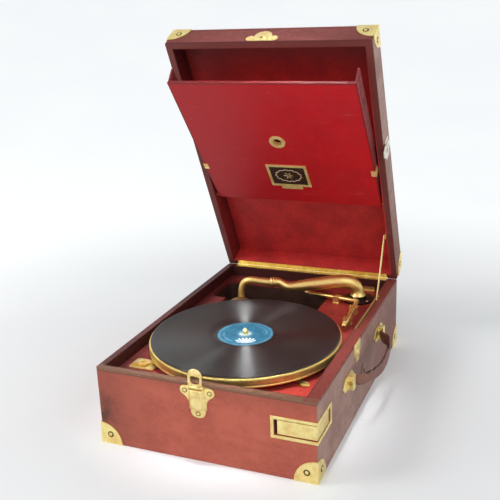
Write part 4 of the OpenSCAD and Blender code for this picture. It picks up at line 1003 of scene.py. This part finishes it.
def screws():
    rng = random.Random(7)
    b, eyelets, lid_eyelets = Build(), Build(), Build("lid")
    cap_screws(b, eyelets, 13.3, rng)
    front = -HALF_D - 1.2
    for x, z in ((-20, 94), (12.2, 94), (LATCH_X, 65.3)):
        rim = [(0, -0.3), (3.1, -0.3), (3.1, 0.25), (2.4, 0.3), (0, 0.3)]
        eyelets.lathe(rim, frame_to((x, front - 0.1, z), (0, -1, 0)), 28)
        b.screw((x, front - 0.2, z), (0, -1, 0), 2.2, rng.uniform(0, 180), 1.2)
    for y in (-80, 80):
        for k in (-19, 19):
            b.screw((HALF_W + 1.5, y + k, 68.5), (1, 0, 0), 1.9, rng.uniform(0, 180))
    for y in (-47.5, -26.5):
        b.screw((HALF_W + 1.2, y, 97), (1, 0, 0), 1.7, rng.uniform(0, 180))
    for k in range(6):
        b.screw((-112 + 45 * k, HALF_D - 4, CASE_H), (0, 0, 1), 1.35, rng.uniform(0, 180), 0.1)
    for x, z in ((88.9, 58), (88.9, 72.5), (126, 77.6), (100, 77.6)):
        b.screw((x, front, z), (0, -1, 0), 1.1, rng.uniform(0, 180), 0.4)
    for x, y in ((-119, -163), (-89, -163), (-119, -143), (99, 187), (106, 187)):
        b.screw((x, min(y, 185.4), DECK + 1.5), (0, 0, 1), 1.3, rng.uniform(0, 180))
    for k in range(3):
        a = math.radians(90 + 120 * k)
        b.screw((PIVOT.x + 19 * math.cos(a), PIVOT.y + 19 * math.sin(a), DECK + 2.5), (0, 0, 1), 2, rng.uniform(0, 180))
    b.done("case_screws", gilt, "case", crease=40)
    # the eyelets are dark: patina, and painted shade round each screw
    eyelets.done("case_eyelets", patina_and_shade, "case", crease=40)
    lid = Build("lid")
    cap_screws(lid, lid_eyelets, LID_TOP - 12.5, rng, LID_TOP)
    for x in (-16.9, 9.1):
        lid.screw((x - 1, front + 0.2, 112), (0, -1, 0), 2.3, rng.uniform(0, 180), 1)
    for k in range(6):
        lid.screw((-112 + 45 * k, HALF_D - 4, 104.95), (0, 0, -1), 1.35, rng.uniform(0, 180), 0.1)
    for y, z in ((-44.5, 115), (-22, 115), (-22, 127)):
        lid.screw((HALF_W + 1, y, z), (1, 0, 0), 1.5, rng.uniform(0, 180), 0.6)
    lid.done("lid_screws", gilt_lid, "lid", crease=40)
    lid_eyelets.done("lid_eyelets", patina_and_shade_lid, "lid", crease=40)


screws()


# ---- light and floor ----
def area(name, at, aim, size, power, color, spread=180):
    """A round lamp; its places and size are in metres."""
    data = bpy.data.lights.new(name, "AREA")
    data.shape, data.size, data.energy, data.color, data.spread = "DISK", size, power, color, math.radians(spread)
    lamp = bpy.data.objects.new(name, data)
    bpy.context.scene.collection.objects.link(lamp)
    lamp.matrix_world = Matrix.Translation(at) @ (Vector(at) - Vector(aim)).to_track_quat("Z", "Y").to_matrix().to_4x4()


def studio():
    scene = bpy.context.scene
    scene.view_settings.view_transform = "Standard"
    world = bpy.data.worlds.new("studio")
    scene.world = world
    world.use_nodes = True
    sky = world.node_tree.nodes["Background"]
    sky.inputs["Color"].default_value = (0.93, 0.95, 0.97, 1)
    sky.inputs["Strength"].default_value = 0.76
    area("key", (-1.4, -1.0, 1.6), (0, 0, 0.08), 0.8, 15.5, (1.0, 0.98, 0.95))
    area("fill", (1.3, -1.1, 1.3), (0, 0, 0.08), 1.0, 5, (0.97, 0.98, 1.0))
    area("top", (0.03, -0.14, 1.7), (0, -0.07, 0.1), 0.12, 0.33, (0.95, 0.98, 1.0), 14)
    mesh = bpy.data.meshes.new("floor")
    # in metres: flat to 1.2 m out, then rising like a wide bowl
    n = 96
    levels = [(1.2 + 0.28 * k, 0.9 * (k / 10) ** 2) for k in range(11)]
    points = [(r * c, r * s, z) for r, z in levels for c, s in circle(n)]
    quads = [(i + k, i + n + k, i + n + (k + 1) % n, i + (k + 1) % n) for i in range(0, 10 * n, n) for k in range(n)]
    mesh.from_pydata(points, [], quads + [list(range(n))])
    mesh.shade_smooth()
    mesh.materials.append(floor_card())
    floor = bpy.data.objects.new("floor", mesh)
    scene.collection.objects.link(floor)


studio()
